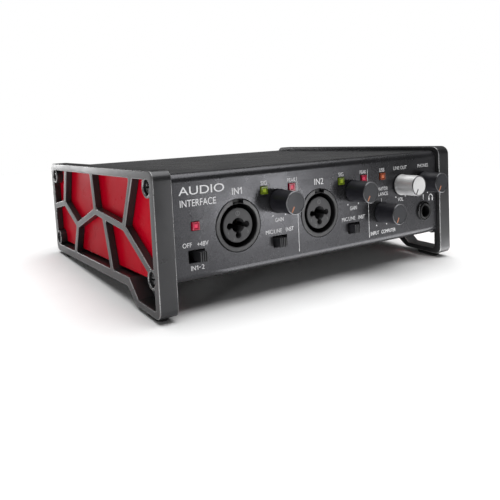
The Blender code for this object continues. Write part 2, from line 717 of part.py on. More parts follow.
def jack_nut(name, axes, place, panel_face, facing, color, metallic):
    bm = bmesh.new()
    near = panel_face + facing * GAP
    low, high = sorted((near, near + facing * JACK_NUT_THICKNESS))
    tube(bm, (0, 0), JACK_NUT, JACK_BUSHING + GAP, low, high, 24)
    x, z = place
    return finish(new_object(name, bm, axes, (x, 0.0, z)), color, 0.35, metallic)


def midi_socket(name, axes, x, z):
    """Five-pin DIN socket: a round sunk face on a square housing."""
    place = (x, 0.0, z)
    face = CASE_REAR + 0.4 * MM
    bm = bmesh.new()
    box(bm, (-9 * MM, REAR_PANEL - 13 * MM, -9 * MM), (9 * MM, REAR_PANEL - GAP, 9 * MM))
    socket = new_object(name, bm, axes, place)
    bm = bmesh.new()
    prism(bm, circle(0, 0, MIDI_RADIUS, 24), "y", REAR_PANEL - MM, face)
    boolean(socket, new_cutter(name + "_face", bm, axes, place), "UNION")
    bm = bmesh.new()
    tube(bm, (0, 0), 6.9 * MM, 5.9 * MM, REAR_PANEL - 8 * MM, face + MM, 24)
    boolean(socket, new_cutter(name + "_shell_slot", bm, axes, place))
    bm = bmesh.new()
    for turn in range(5):
        angle = math.radians(180 + 45 * turn)
        a, b = 3.9 * MM * math.cos(angle), 3.9 * MM * math.sin(angle)
        prism(bm, circle(a, b, 0.75 * MM, 8), "y", REAR_PANEL - 6 * MM, face + MM)
    boolean(socket, new_cutter(name + "_pin_holes", bm, axes, place))
    return finish(socket, (0.02, 0.02, 0.02), 0.5)


def usb_c_port(axes):
    """USB-C receptacle: a flat shell with a contact tongue inside."""
    x, z = USB_PLACE
    place = (x, 0.0, z)
    face = CASE_REAR
    bm = bmesh.new()
    corners = [(a * 4.6 * MM, b * 1.75 * MM, 1.6 * MM) for a, b in ((-1, -1), (1, -1), (1, 1), (-1, 1))]
    prism(bm, rounded(corners, steps=4), "y", REAR_PANEL - 7 * MM, face)
    port = new_object("usb_c_port", bm, axes, place)
    bm = bmesh.new()
    corners = [(a * 4.2 * MM, b * 1.35 * MM, 1.25 * MM) for a, b in ((-1, -1), (1, -1), (1, 1), (-1, 1))]
    prism(bm, rounded(corners, steps=4), "y", REAR_PANEL - 6 * MM, face + MM)
    boolean(port, new_cutter("usb_c_mouth", bm, axes, place))
    bm = bmesh.new()
    box(bm, (-3.3 * MM, REAR_PANEL - 6.5 * MM, -0.35 * MM), (3.3 * MM, face - 0.8 * MM, 0.35 * MM))
    boolean(port, new_cutter("usb_c_tongue", bm, axes, place), "UNION")
    return finish(port, (0.6, 0.6, 0.62), 0.3, 1.0)


def dc_inlet(axes):
    """Barrel power inlet with its centre pin."""
    x, z = DC_PLACE
    place = (x, 0.0, z)
    bm = bmesh.new()
    box(bm, (-4.5 * MM, REAR_PANEL - 13 * MM, -5.5 * MM), (4.5 * MM, REAR_PANEL - GAP, 5.5 * MM))
    inlet = new_object("dc_inlet", bm, axes, place)
    bm = bmesh.new()
    prism(bm, circle(0, 0, 4.0 * MM, 20), "y", REAR_PANEL - MM, CASE_REAR + 0.2 * MM)
    boolean(inlet, new_cutter("dc_inlet_collar", bm, axes, place), "UNION")
    bm = bmesh.new()
    tube(bm, (0, 0), 2.9 * MM, 1.0 * MM, REAR_PANEL - 9 * MM, CASE_REAR + MM, 16)
    boolean(inlet, new_cutter("dc_inlet_mouth", bm, axes, place))
    return finish(inlet, (0.02, 0.02, 0.02), 0.5)


def build_side(axes, side, word):
    side_frame(word + "_side_frame", axes, side)
    side_insert(word + "_side_insert", axes, side)
    for place, (y, z) in zip(("front_top", "front_low", "rear_top", "rear_low"), SCREW_PLACES):
        side_screw(word + "_screw_" + place, axes, side, y, z)
    foot_pad(word + "_front_foot_pad", axes, side, 12.0 * MM, frame_bottom)
    foot_pad(word + "_rear_foot_pad", axes, side, 136.0 * MM, lambda y: -FRAME_REAR_HEIGHT)


def build_front(axes):
    for name, (x, z) in COMBO_PLACES.items():
        combo_jack(name, axes, x, z)
    for name, (x, z) in KNOB_PLACES.items():
        potentiometer(name + "_potentiometer", axes, x, z)
        knob_shaft(name + "_shaft", axes, x, z)
        color = (0.55, 0.55, 0.56) if name == "line_out" else (0.02, 0.02, 0.022)
        knob(name + "_knob", axes, x, z, color)
    for name, (x, z, side) in SWITCH_PLACES.items():
        slide_switch(name + "_switch", axes, x, z)
        switch_slider(name + "_slider", axes, x, z, side)
    for name, (x, z, color) in LED_PLACES.items():
        led_lens(name, axes, x, z, color)
    quarter_inch_jack("phones_jack", axes, PHONES_JACK_PLACE, PANEL, PANEL_BACK, -1)
    jack_nut("phones_jack_nut", axes, PHONES_JACK_PLACE, PANEL, -1, (0.03, 0.03, 0.03), 0.2)


def build_rear(axes):
    for name, place in LINE_OUT_PLACES.items():
        quarter_inch_jack(name + "_jack", axes, place, CASE_REAR, REAR_PANEL, 1)
        jack_nut(name + "_nut", axes, place, CASE_REAR, 1, (0.6, 0.6, 0.62), 1.0)
    for name, (x, z) in MIDI_PLACES.items():
        midi_socket(name + "_socket", axes, x, z)
    usb_c_port(axes)
    dc_inlet(axes)


def stand_on_table(device):
    """Shift the device so its feet stand on Z = 0 and its box is centred on the Z axis."""
    bpy.context.view_layer.update()
    shown = [obj for obj in bpy.data.objects if obj.type == "MESH" and not obj.hide_render]
    points = [obj.matrix_world @ vertex.co for obj in shown for vertex in obj.data.vertices]
    depths = [point.y for point in points]
    lowest = min(point.z for point in points)
    device.location = (0.0, -(min(depths) + max(depths)) / 2, -lowest)


def main():
    clear_scene()
    device = new_empty("on_the_table")
    axes = new_empty("case_axes", device)
    axes.rotation_euler = (-TILT, 0.0, 0.0)
    front_top_cover(axes)
    bottom_chassis(axes)
    main_circuit_board(axes)
    front_circuit_board(axes)
    build_front(axes)
    build_rear(axes)
    build_side(axes, -1, "left")
    build_side(axes, 1, "right")
    stand_on_table(device)


main()
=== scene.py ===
"""Visual model of a desktop audio interface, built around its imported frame.

Every piece is drawn in the case's own axes: X to the right, Y to the back, Z up, with the origin
at the side frames' top front corner. CASE carries those axes into the row frame.
"""
import json
import math

import bmesh
import bpy
from mathutils import Matrix, Vector


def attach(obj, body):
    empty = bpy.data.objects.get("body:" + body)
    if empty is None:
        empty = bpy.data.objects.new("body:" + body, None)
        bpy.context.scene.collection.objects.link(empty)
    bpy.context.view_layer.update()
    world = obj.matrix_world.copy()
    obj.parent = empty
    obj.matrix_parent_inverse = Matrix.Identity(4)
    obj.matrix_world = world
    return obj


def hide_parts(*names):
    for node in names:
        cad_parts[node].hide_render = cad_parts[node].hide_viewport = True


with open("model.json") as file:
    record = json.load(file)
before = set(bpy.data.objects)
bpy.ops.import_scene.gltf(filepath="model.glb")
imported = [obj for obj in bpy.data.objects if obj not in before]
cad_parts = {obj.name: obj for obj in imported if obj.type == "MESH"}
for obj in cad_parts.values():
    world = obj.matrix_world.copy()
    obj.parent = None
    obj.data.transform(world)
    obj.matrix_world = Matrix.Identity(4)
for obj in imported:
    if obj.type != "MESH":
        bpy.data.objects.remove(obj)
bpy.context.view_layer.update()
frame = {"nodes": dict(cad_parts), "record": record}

MM = 0.001
JOINTS = {joint["name"]: joint for joint in frame["record"]["behaviour"]["joints"]}
TURN_AXIS = Vector(JOINTS["gain_1_knob_turn"]["axis"])
LEAN = math.atan2(-TURN_AXIS.z, TURN_AXIS.y)
GAIN_1_PLACE = Vector((-28.6, 0.0, -19.0)) * MM
TILTED = Matrix.Rotation(-LEAN, 4, "X")
CASE_ORIGIN = Vector(JOINTS["gain_1_knob_turn"]["pos_m"]) - TILTED @ GAIN_1_PLACE
CASE = Matrix.Translation(CASE_ORIGIN) @ TILTED

# Camera, from the case's origin, in the row frame's directions
CAMERA_OFFSET = Vector((-187.99, -207.61, 27.21)) * MM
CAMERA_YAW = math.radians(32.466)
CAMERA_PITCH = math.radians(7.367)
CAMERA_ROLL = math.radians(-0.908)
CAMERA_LENS = 40.95
CAMERA_SHIFT = (0.04, -0.15)

# Side frames
HALF_WIDTH = 93.0 * MM
FRAME_THICKNESS = 8.6 * MM
LATTICE_DEPTH = 3.6 * MM
BORDER = 3.9 * MM
RIB = 3.4 * MM
CELL_FLOOR = -49.4 * MM
FOOT_HEIGHT = 62.3 * MM
REAR_HEIGHT = 53.9 * MM
SCREW_PLACES = [(7.0, -7.0), (6.6, -45.6), (142.8, -7.2), (143.0, -45.6)]
BOSS_RADIUS = 4.6 * MM
RECESS_RADIUS = 3.3 * MM
GAP = 0.3 * MM
SHANK_RADIUS = 1.5 * MM
# Width of the frames' rounded edges, which are coloured lighter as a painted highlight
EDGE_HIGHLIGHT_WIDTH = 0.4 * MM

# Case
SHEET = 1.5 * MM
CASE_HALF_WIDTH = 84.1 * MM
CASE_TOP = -2.2 * MM
CASE_BOTTOM = -49.1 * MM
PANEL = 2.2 * MM
CASE_REAR = 147.3 * MM
EDGE_RADIUS = 3.8 * MM

# Panel holes: radii, then half sizes in millimetres
HOLE_CHAMFER = 0.12 * MM
COMBO_HOLE = 12.05 * MM
KNOB_HOLE = 4.0 * MM
JACK_HOLE = 4.7 * MM
MIDI_HOLE = 7.9 * MM
DC_HOLE = 4.4 * MM
SWITCH_HOLE = (4.0, 2.75)
LED_HOLE = (2.0, 2.0)

# Panel layout, in millimetres
COMBO_PLACES = {"combo_jack_1": (-51.4, -27.6), "combo_jack_2": (-3.6, -27.6)}
KNOB_PLACES = {
    "gain_1": (-28.6, -19.0),
    "gain_2": (18.9, -19.0),
    "monitor_balance": (39.2, -32.3),
    "line_out": (54.5, -19.0),
    "phones": (73.0, -19.0),
}
# x of each switch, and the side its slider rests on
SWITCH_PLACES = {"phantom_power": (-73.4, 1), "input_1": (-28.6, -1), "input_2": (19.0, -1)}
SWITCH_ROW = -38.0
LED_PLACES = {
    "phantom_power_led": (-73.4, -25.0),
    "signal_1_led": (-36.8, -13.3),
    "peak_1_led": (-20.7, -13.3),
    "signal_2_led": (11.0, -13.3),
    "peak_2_led": (26.7, -13.3),
    "usb_led": (40.5, -13.3),
}
LED_SLOTS = {
    "phantom_power_led": "lens_red",
    "signal_1_led": "lens_green",
    "peak_1_led": "lens_red",
    "signal_2_led": "lens_green",
    "peak_2_led": "lens_red",
    "usb_led": "lens_orange",
}
PHONES_JACK = (73.0, -35.5)
LINE_OUT_PLACES = {"line_out_left": (-66.0, -26.0), "line_out_right": (-44.0, -26.0)}
MIDI_PLACES = {"midi_in": (-10.0, -26.0), "midi_out": (18.0, -26.0)}
USB_PLACE = (44.0, -30.0)
DC_PLACE = (66.0, -30.0)

# Controls and sockets
KNOB_REACH = 12.8 * MM
POINTER_ANGLE = math.radians(-150.0)
POINTER_REACH = (1.9, 4.75)  # in millimetres
SLIDER_OFFSET = 1.3 * MM
COMBO_PIN_CIRCLE = 4.45 * MM
COMBO_PINS = [(COMBO_PIN_CIRCLE * math.cos(t), COMBO_PIN_CIRCLE * math.sin(t))
              for t in (0.0, math.pi, 1.5 * math.pi)]
MIDI_PIN_CIRCLE = 3.9 * MM
MIDI_PINS = [(MIDI_PIN_CIRCLE * math.cos(t), MIDI_PIN_CIRCLE * math.sin(t))
             for t in map(math.radians, range(180, 361, 45))]
LEGEND_THICKNESS = 0.05 * MM
LEGEND_LIFT = 0.01 * MM

# Studio
FLOOR_RADIUS = 0.5
WORLD_DIM = 0.06
SUN_POWER = 3.75
SUN_ANGLE = 70.0
SUN_TILT = (math.radians(-2), math.radians(7), 0.0)
LIGHTS = [  # name, place, target, size, power
    ("front_right", (0.23, -0.45, 0.023), (0.0, -0.07, 0.045), (0.12, 0.046), 0.33),
    ("rear_left", (-0.21, 0.45, 0.032), (-0.093, 0.06, 0.05), (0.12, 0.05), 0.15),
    ("left", (-0.75, -0.42, 0.1), (-0.093, -0.06, 0.04), (0.08, 0.3), 0.9),
    ("table_front", (0.05, -0.084, 0.0015), (0.05, -0.083, 1.0), (0.2, 0.024), 0.05),
    ("table_left", (-0.18, -0.11, 0.0015), (-0.18, -0.109, 1.0), (0.14, 0.07), 0.06),
    ("rear", (0.6, 0.75, 0.1), (0.0, 0.0, 0.06), (0.9, 0.14), 0.07),
]

# Mesh drawing
AXES = {"x": (1, 2, 0), "y": (0, 2, 1), "z": (0, 1, 2)}
ORIGIN = (0.0, 0.0, 0.0)
SQUARE = ((-1, -1), (1, -1), (1, 1), (-1, 1))
SHARP = math.radians(40)
CLOUDS_SCALE = 70.0
NOISE_RANGE = (0.3, 0.7)


# ---- materials

def node(tree, kind, **settings):
    """New node; a setting names an input socket or else a property."""
    made = tree.nodes.new(kind)
    for name, value in settings.items():
        if name in made.inputs:
            made.inputs[name].default_value = value
        else:
            setattr(made, name, value)
    return made


def remap(tree, noise, low, high):
    """Stretch a noise's usual range over another one."""
    made = node(tree, "ShaderNodeMapRange")
    for name, number in zip(("From Min", "From Max", "To Min", "To Max"), (*NOISE_RANGE, low, high)):
        made.inputs[name].default_value = number
    tree.links.new(noise.outputs["Fac"], made.inputs["Value"])
    return made.outputs["Result"]


def surface(name, color, roughness, metallic=0.0, grain=0.35, depth=0.02, mottle=0.08,
            spread=0.05, glow=0.0, brushed=None, speckle=0.0, shine=0.5, tint=(1.0, 1.0, 1.0)):
    """Principled material with cloudy colour, uneven roughness and a fine bumpy grain.

    grain and depth are in millimetres. brushed stretches the grain along one axis. speckle lets the
    grain change the colour too.
    """
    material = bpy.data.materials.new(name)
    material.use_nodes = True
    tree = material.node_tree
    shader = tree.nodes["Principled BSDF"]
    shader.inputs["Metallic"].default_value = metallic
    shader.inputs["Specular IOR Level"].default_value = shine
    shader.inputs["Specular Tint"].default_value = (*tint, 1.0)
    place = node(tree, "ShaderNodeTexCoord")
    stretch = node(tree, "ShaderNodeMapping")
    stretch.inputs["Scale"].default_value = brushed or (1.0, 1.0, 1.0)
    tree.links.new(place.outputs["Object"], stretch.inputs["Vector"])

    clouds = node(tree, "ShaderNodeTexNoise", Scale=CLOUDS_SCALE, Detail=4.0, Roughness=0.6)
    fine = node(tree, "ShaderNodeTexNoise", Scale=1000.0 / grain, Detail=3.0, Roughness=0.65)
    tree.links.new(place.outputs["Object"], clouds.inputs["Vector"])
    tree.links.new(stretch.outputs["Vector"], fine.inputs["Vector"])

    shades = node(tree, "ShaderNodeValToRGB")
    for element, position, factor in zip(shades.color_ramp.elements, (0.25, 0.75), (1 - mottle, 1 + mottle)):
        element.position = position
        element.color = (*[min(1, c * factor) for c in color], 1)
    tree.links.new(clouds.outputs["Fac"], shades.inputs["Fac"])
    final = shades.outputs["Color"]
    if speckle:
        scaled = node(tree, "ShaderNodeVectorMath", operation="SCALE")
        tree.links.new(final, scaled.inputs[0])
        tree.links.new(remap(tree, fine, 1 - speckle, 1 + speckle), scaled.inputs["Scale"])
        final = scaled.outputs["Vector"]
    tree.links.new(final, shader.inputs["Base Color"])

    polish = remap(tree, clouds, max(0.02, roughness - spread), min(1.0, roughness + spread))
    tree.links.new(polish, shader.inputs["Roughness"])
    bump = node(tree, "ShaderNodeBump", Strength=1.0)
    bump.inputs["Distance"].default_value = depth * MM
    tree.links.new(fine.outputs["Fac"], bump.inputs["Height"])
    tree.links.new(bump.outputs["Normal"], shader.inputs["Normal"])
    if glow:
        shader.inputs["Emission Strength"].default_value = glow
        tree.links.new(final, shader.inputs["Emission Color"])
    return material


MATERIALS = {
    "frame": surface("frame_paint", (0.054, 0.054, 0.056), 0.32, 0.7, grain=0.3, depth=0.006,
                     speckle=0.06, shine=0.3),
    # Lighter colour on the frames' rounded edges: a painted highlight
    "frame_edge_highlight": surface("frame_paint_painted_highlight", (0.22, 0.22, 0.222), 0.28, 0.7, grain=0.3, depth=0.006,
                          mottle=0.3),
    "insert": surface("insert_gloss", (0.48, 0.0, 0.012), 0.3, grain=2.2, depth=0.01, shine=0.02,
                      tint=(1.0, 0.02, 0.05)),
    "panel": surface("cover_paint", (0.052, 0.052, 0.056), 0.28, 0.75, grain=0.55, depth=0.026,
                     speckle=0.3, mottle=0.03, shine=0.3),
    "chassis": surface("chassis_paint", (0.012, 0.012, 0.013), 0.5, grain=0.3, speckle=0.1, shine=0.3),
    "screw": surface("screw_black", (0.06, 0.06, 0.062), 0.28, 0.9, grain=0.25, depth=0.01),
    "rubber": surface("foot_rubber", (0.012, 0.012, 0.012), 0.75, grain=0.4, depth=0.04, shine=0.3),
    "board": surface("circuit_board_green", (0.01, 0.09, 0.03), 0.35, grain=1.2, depth=0.03),
    "socket": surface("socket_black", (0.006, 0.006, 0.0065), 0.42, grain=0.4, depth=0.015, shine=0.3),
    "socket_ring": surface("socket_ring_grey", (0.02, 0.02, 0.022), 0.32, grain=0.4, depth=0.01, shine=0.45),
    "socket_insert": surface("socket_insert_grey", (0.05, 0.05, 0.052), 0.45, grain=0.4, shine=0.3),
    "socket_mark": surface("socket_mark_grey", (0.14, 0.14, 0.143), 0.45, grain=0.4, depth=0.01, shine=0.3),
    "contact": surface("contact_gold", (0.6, 0.4, 0.15), 0.3, 1.0, grain=0.3, depth=0.005),
    "contact_dull": surface("contact_dull", (0.1, 0.085, 0.06), 0.5, 0.8, grain=0.3, depth=0.005),
    "can": surface("potentiometer_can", (0.4, 0.4, 0.42), 0.38, 1.0, grain=0.4, depth=0.01,
                   brushed=(1.0, 0.05, 1.0)),
    "shaft": surface("shaft_metal", (0.6, 0.6, 0.62), 0.32, 1.0, grain=0.2, depth=0.005,
                     brushed=(1.0, 8.0, 1.0)),
    "knob": surface("knob_soft_black", (0.009, 0.009, 0.012), 0.38, depth=0.012, shine=0.4),
    "cap": surface("knob_cap_grey", (0.028, 0.029, 0.033), 0.38, 0.2, grain=0.12, depth=0.004, shine=0.3,
                   brushed=(1.0, 1.0, 0.1)),
    "edge": surface("knob_edge_bright", (0.1, 0.1, 0.105), 0.3, 0.9, grain=0.1, depth=0.002),
    "silver": surface("knob_silver", (0.8, 0.8, 0.8), 0.38, 0.7, grain=0.14, depth=0.006,
                      brushed=(1.0, 6.0, 1.0)),
    "silver_cap": surface("knob_silver_cap", (0.7, 0.7, 0.7), 0.34, 0.3, grain=0.14, depth=0.004,
                          brushed=(1.0, 1.0, 0.1)),
    "pointer": surface("pointer_orange", (0.42, 0.16, 0.08), 0.5, grain=0.3, depth=0.01),
    "pointer_dark": surface("pointer_black", (0.02, 0.02, 0.02), 0.5, grain=0.3, depth=0.01),
    "switch": surface("switch_black", (0.004, 0.004, 0.0045), 0.45, grain=0.3, depth=0.01, shine=0.3),
    "slider": surface("slider_black", (0.014, 0.014, 0.016), 0.32, grain=0.3, depth=0.01),
    "lens_red": surface("lens_red", (0.3, 0.002, 0.025), 0.2, grain=0.8, shine=0.4),
    "lens_red_core": surface("lens_red_core", (0.6, 0.0, 0.06), 0.35, grain=0.8, glow=0.15),
    "lens_green": surface("lens_green", (0.1, 0.14, 0.006), 0.2, grain=0.8, shine=0.4),
    "lens_green_core": surface("lens_green_core", (0.3, 0.4, 0.03), 0.3, grain=0.8, glow=0.15),
    "lens_orange": surface("lens_orange", (0.2, 0.035, 0.01), 0.2, grain=0.8, shine=0.4),
    "lens_orange_core": surface("lens_orange_core", (0.5, 0.12, 0.04), 0.3, grain=0.8, glow=0.15),
    "nut": surface("nut_black", (0.03, 0.03, 0.031), 0.24, 0.7, grain=0.3, depth=0.006),
    "nickel": surface("nut_nickel", (0.6, 0.6, 0.61), 0.25, 1.0, grain=0.2, depth=0.004),
    "legend": surface("legend_white", (0.7, 0.7, 0.71), 0.55, grain=0.4, depth=0.008, mottle=0.04),
}


# ---- mesh helpers

def flat(points):
    """Millimetres to metres for a list of points."""
    return [tuple(value * MM for value in point) for point in points]


def circle(a, b, radius, steps=48):
    angles = [2 * math.pi * (k + 0.5) / steps for k in range(steps)]
    return [(a + radius * math.cos(t), b + radius * math.sin(t)) for t in angles]


def rectangle(low_a, low_b, high_a, high_b):
    return [(low_a, low_b), (high_a, low_b), (high_a, high_b), (low_a, high_b)]


def rounded(corners, steps=6):
    """Round a polygon's corners. Each corner is (a, b, radius), and a radius of 0 leaves it sharp."""
    points = []
    for index, (a, b, radius) in enumerate(corners):
        if radius == 0:
            points.append((a, b))
            continue
        here = Vector((a, b))
        before = (Vector(corners[index - 1][:2]) - here).normalized()
        after = (Vector(corners[(index + 1) % len(corners)][:2]) - here).normalized()
        half_angle = before.angle(after) / 2
        centre = here + (before + after).normalized() * radius / math.sin(half_angle)
        reach = radius / math.tan(half_angle)
        start = here + before * reach - centre
        end = here + after * reach - centre
        first = math.atan2(start.y, start.x)
        sweep = math.remainder(math.atan2(end.y, end.x) - first, 2 * math.pi)
        angles = [first + sweep * k / steps for k in range(steps + 1)]
        points += [(centre.x + radius * math.cos(t), centre.y + radius * math.sin(t)) for t in angles]
    return points


def inset(corners, margins):
    """Move each side of a polygon inwards by its own margin."""
    pairs = list(zip(corners, corners[1:] + corners[:1]))
    area = sum(a[0] * b[1] - b[0] * a[1] for a, b in pairs)
    lines = []
    for (here, there), margin in zip(pairs, margins):
        along = (Vector(there) - Vector(here)).normalized()
        inward = Vector((-along.y, along.x)) * math.copysign(1, area)
        lines.append((Vector(here) + inward * margin, along))
    points = []
    for k in range(len(lines)):
        (p, d), (q, e) = lines[k - 1], lines[k]
        points.append(p + d * ((q - p).cross(e) / d.cross(e)))
    return points


def on_axis(axis, a, b, distance):
    """Point from two coordinates across an axis and one along it."""
    first, second, along = AXES[axis]
    point = Vector(ORIGIN)
    point[first], point[second], point[along] = a, b, distance
    return point


def prism(bm, outline, axis, low, high):
    base = bm.faces.new([bm.verts.new(on_axis(axis, a, b, low)) for a, b in outline])
    geometry = bmesh.ops.extrude_face_region(bm, geom=[base])["geom"]
    shift = on_axis(axis, 0.0, 0.0, high - low)
    bmesh.ops.translate(bm, vec=shift, verts=[v for v in geometry if isinstance(v, bmesh.types.BMVert)])


def box(bm, low, high):
    prism(bm, rectangle(low[0], low[2], high[0], high[2]), "y", low[1], high[1])


def around(x, z, half_width, half_height, near, far):
    """Opposite corners of a box about a line along Y."""
    return (x - half_width, near, z - half_height), (x + half_width, far, z + half_height)


def bridge(bm, near, far):
    """Join two closed rings of vertices with quads."""
    for k in range(len(near)):
        n = (k + 1) % len(near)
        bm.faces.new((near[k], near[n], far[n], far[k]))


def lathe(bm, profile, steps=64, centre=(0.0, 0.0), axis="y"):
    """Revolve (radius, distance) points about an axis; a radius of 0 closes an end."""
    rings = []
    for radius, distance in profile:
        angles = [2 * math.pi * (k + 0.5) / steps for k in range(1 if radius == 0 else steps)]
        points = [(centre[0] + radius * math.cos(t), centre[1] + radius * math.sin(t)) for t in angles]
        rings.append([bm.verts.new(on_axis(axis, a, b, distance)) for a, b in points])
    closed = profile[0][0] != 0 and profile[-1][0] != 0
    following = rings[1:] + (rings[:1] if closed else [])
    for ring, other in zip(rings, following):
        for k in range(steps):
            n = (k + 1) % steps
            corners = [ring[k % len(ring)], ring[n % len(ring)], other[n % len(other)], other[k % len(other)]]
            corners = list(dict.fromkeys(corners))
            if len(corners) > 2:
                bm.faces.new(corners)


def hole(bm, outline, face, depth, chamfer, inward=1):
    """Cutter for a hole in a panel, flared at the face so that the hole's edge comes out chamfered."""
    centre = sum((Vector(point) for point in outline), Vector((0.0, 0.0))) / len(outline)
    layers = []
    for distance, growth in ((-MM, MM + chamfer), (0.0, chamfer), (chamfer, 0.0), (depth, 0.0)):
        layer = []
        for point in outline:
            out = Vector(point) - centre
            spread = Vector(point) + Vector((math.copysign(growth, out.x), math.copysign(growth, out.y)))
            if len(outline) > 4:
                spread = Vector(point) + out.normalized() * growth
            layer.append(bm.verts.new((spread.x, face + inward * distance, spread.y)))
        layers.append(layer)
    for near, far in zip(layers, layers[1:]):
        bridge(bm, near, far)
    bm.faces.new(layers[0])
    bm.faces.new(layers[-1])


def new_object(name, bm, place=ORIGIN):
    """Object from a bmesh drawn in case axes, put in the row frame."""
    bmesh.ops.recalc_face_normals(bm, faces=bm.faces)
    if bm.calc_volume(signed=True) < 0:
        bmesh.ops.reverse_faces(bm, faces=bm.faces)
    mesh = bpy.data.meshes.new(name)
    bm.to_mesh(mesh)
    bm.free()
    obj = bpy.data.objects.new(name, mesh)
    bpy.context.scene.collection.objects.link(obj)
    obj.matrix_world = CASE @ Matrix.Translation(Vector(place))
    return obj


def cut(obj, bm, place=ORIGIN):
    """Cut a bmesh drawn in case axes out of an object."""
    other = new_object(obj.name + "_tool", bm, place)
    cut_object(obj, other)
    bpy.data.objects.remove(other, do_unlink=True)


def cut_object(obj, other):
    modifier = obj.modifiers.new("cut", "BOOLEAN")
    modifier.operation = "DIFFERENCE"
    modifier.solver = "EXACT"
    modifier.object = other
    bake(obj)


def extruded(name, outline, axis, low, high, place=ORIGIN):
    bm = bmesh.new()
    prism(bm, outline, axis, low, high)
    return new_object(name, bm, place)


def block(name, corners, place=ORIGIN):
    bm = bmesh.new()
    box(bm, *corners)
    return new_object(name, bm, place)


def cut_boxes(obj, boxes, place=ORIGIN):
    bm = bmesh.new()
    for corners in boxes:
        box(bm, *corners)
    cut(obj, bm, place)


def drill(obj, outlines, low, high, place=ORIGIN):
    """Cut prisms along Y out of an object."""
    bm = bmesh.new()
    for outline in outlines:
        prism(bm, outline, "y", low, high)
    cut(obj, bm, place)


def turned(name, profile, steps, place, angle, *finishing):
    """Finished piece revolved about Y from a profile in millimetres."""
    bm = bmesh.new()
    lathe(bm, flat(profile), steps)
    obj = new_object(name, bm, place)
    smooth(obj, angle)
    finish(obj, *finishing)


def bake(obj):
    """Turn an object's modifiers into its mesh."""
    bpy.context.view_layer.update()
    depsgraph = bpy.context.evaluated_depsgraph_get()
    mesh = bpy.data.meshes.new_from_object(obj.evaluated_get(depsgraph))
    obj.modifiers.clear()
    obj.data = mesh


def split_large_faces(obj):
    """Cut faces of five corners or more into triangles, which bevels handle better."""
    split = obj.modifiers.new("split", "TRIANGULATE")
    split.min_vertices = 5


def soften(obj, width, segments=2, angle=SHARP):
    """Round the sharp edges and shade the result by face area."""
    split_large_faces(obj)
    modifier = obj.modifiers.new("edges", "BEVEL")
    modifier.width = width
    modifier.segments = segments
    modifier.limit_method = "ANGLE"
    modifier.angle_limit = angle
    bake(obj)
    weigh(obj)


def round_outlines(obj, planes, width, highlight_material):
    """Round the sharp edges that lie in some planes across X, with a lighter material of their own that
    paints a highlight on them.

    The width is not clamped, so edges deeper in the mesh are left sharp to keep faces from folding.
    """
    split_large_faces(obj)
    bake(obj)
    bm = bmesh.new()
    bm.from_mesh(obj.data)
    weight = bm.edges.layers.float.new("bevel_weight_edge")
    for edge in bm.edges:
        sharp = edge.calc_face_angle(0.0) > SHARP
        if sharp and any(all(abs(v.co.x - plane) < 0.01 * MM for v in edge.verts) for plane in planes):
            edge[weight] = 1.0
    bm.to_mesh(obj.data)
    bm.free()
    # The bevels take the lighter material, a painted highlight along the edges
    obj.data.materials.append(None)
    obj.data.materials.append(MATERIALS[highlight_material])
    modifier = obj.modifiers.new("edges", "BEVEL")
    modifier.width = width
    modifier.segments = 2
    modifier.limit_method = "WEIGHT"
    modifier.use_clamp_overlap = False
    modifier.loop_slide = False
    modifier.material = 1
    bake(obj)
    weigh(obj)


def weigh(obj):
    """Smooth shading that leaves the large faces flat."""
    obj.data.shade_smooth()
    obj.data.set_sharp_from_angle(angle=math.radians(50))
    normals = obj.modifiers.new("normals", "WEIGHTED_NORMAL")
    normals.keep_sharp = True
    normals.weight = 80


def smooth(obj, angle=35):
    obj.data.shade_smooth()
    obj.data.set_sharp_from_angle(angle=math.radians(angle))


def finish(obj, material, slot, body="case", *nodes):
    """Bake the case's lean into the mesh; give the piece its material and body, and hide the CAD nodes it
    replaces. The slot is not used.
    """
    obj.data.transform(TILTED)
    obj.matrix_world = obj.matrix_world @ TILTED.inverted()
    if obj.data.materials:
        obj.data.materials[0] = MATERIALS[material]
    else:
        obj.data.materials.append(MATERIALS[material])
    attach(obj, body)
    if nodes:
        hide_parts(*nodes)


def paint_node(name, material):
    """Give a kept CAD node its finished material."""
    obj = frame["nodes"][name]
    if not obj.material_slots:
        obj.data.materials.append(MATERIALS[material])
    for slot in obj.material_slots:
        slot.material = MATERIALS[material]


# ---- side frames

def foot_line(y):
    """Height of the feet's underside, which is level although the case leans back."""
    return -FOOT_HEIGHT + y * math.tan(LEAN)


def frame_outline():
    corners = [
        (0.0, 0.0, 4.5 * MM),
        (150.0 * MM, 0.0, 4.5 * MM),
        (147.6 * MM, -REAR_HEIGHT, 4.5 * MM),
        (33.8 * MM, -REAR_HEIGHT, 6.0 * MM),
        (25.0 * MM, foot_line(25.0 * MM), 5.0 * MM),
        (0.0, foot_line(0.0), 4.0 * MM),
    ]
    return rounded(corners, steps=10)


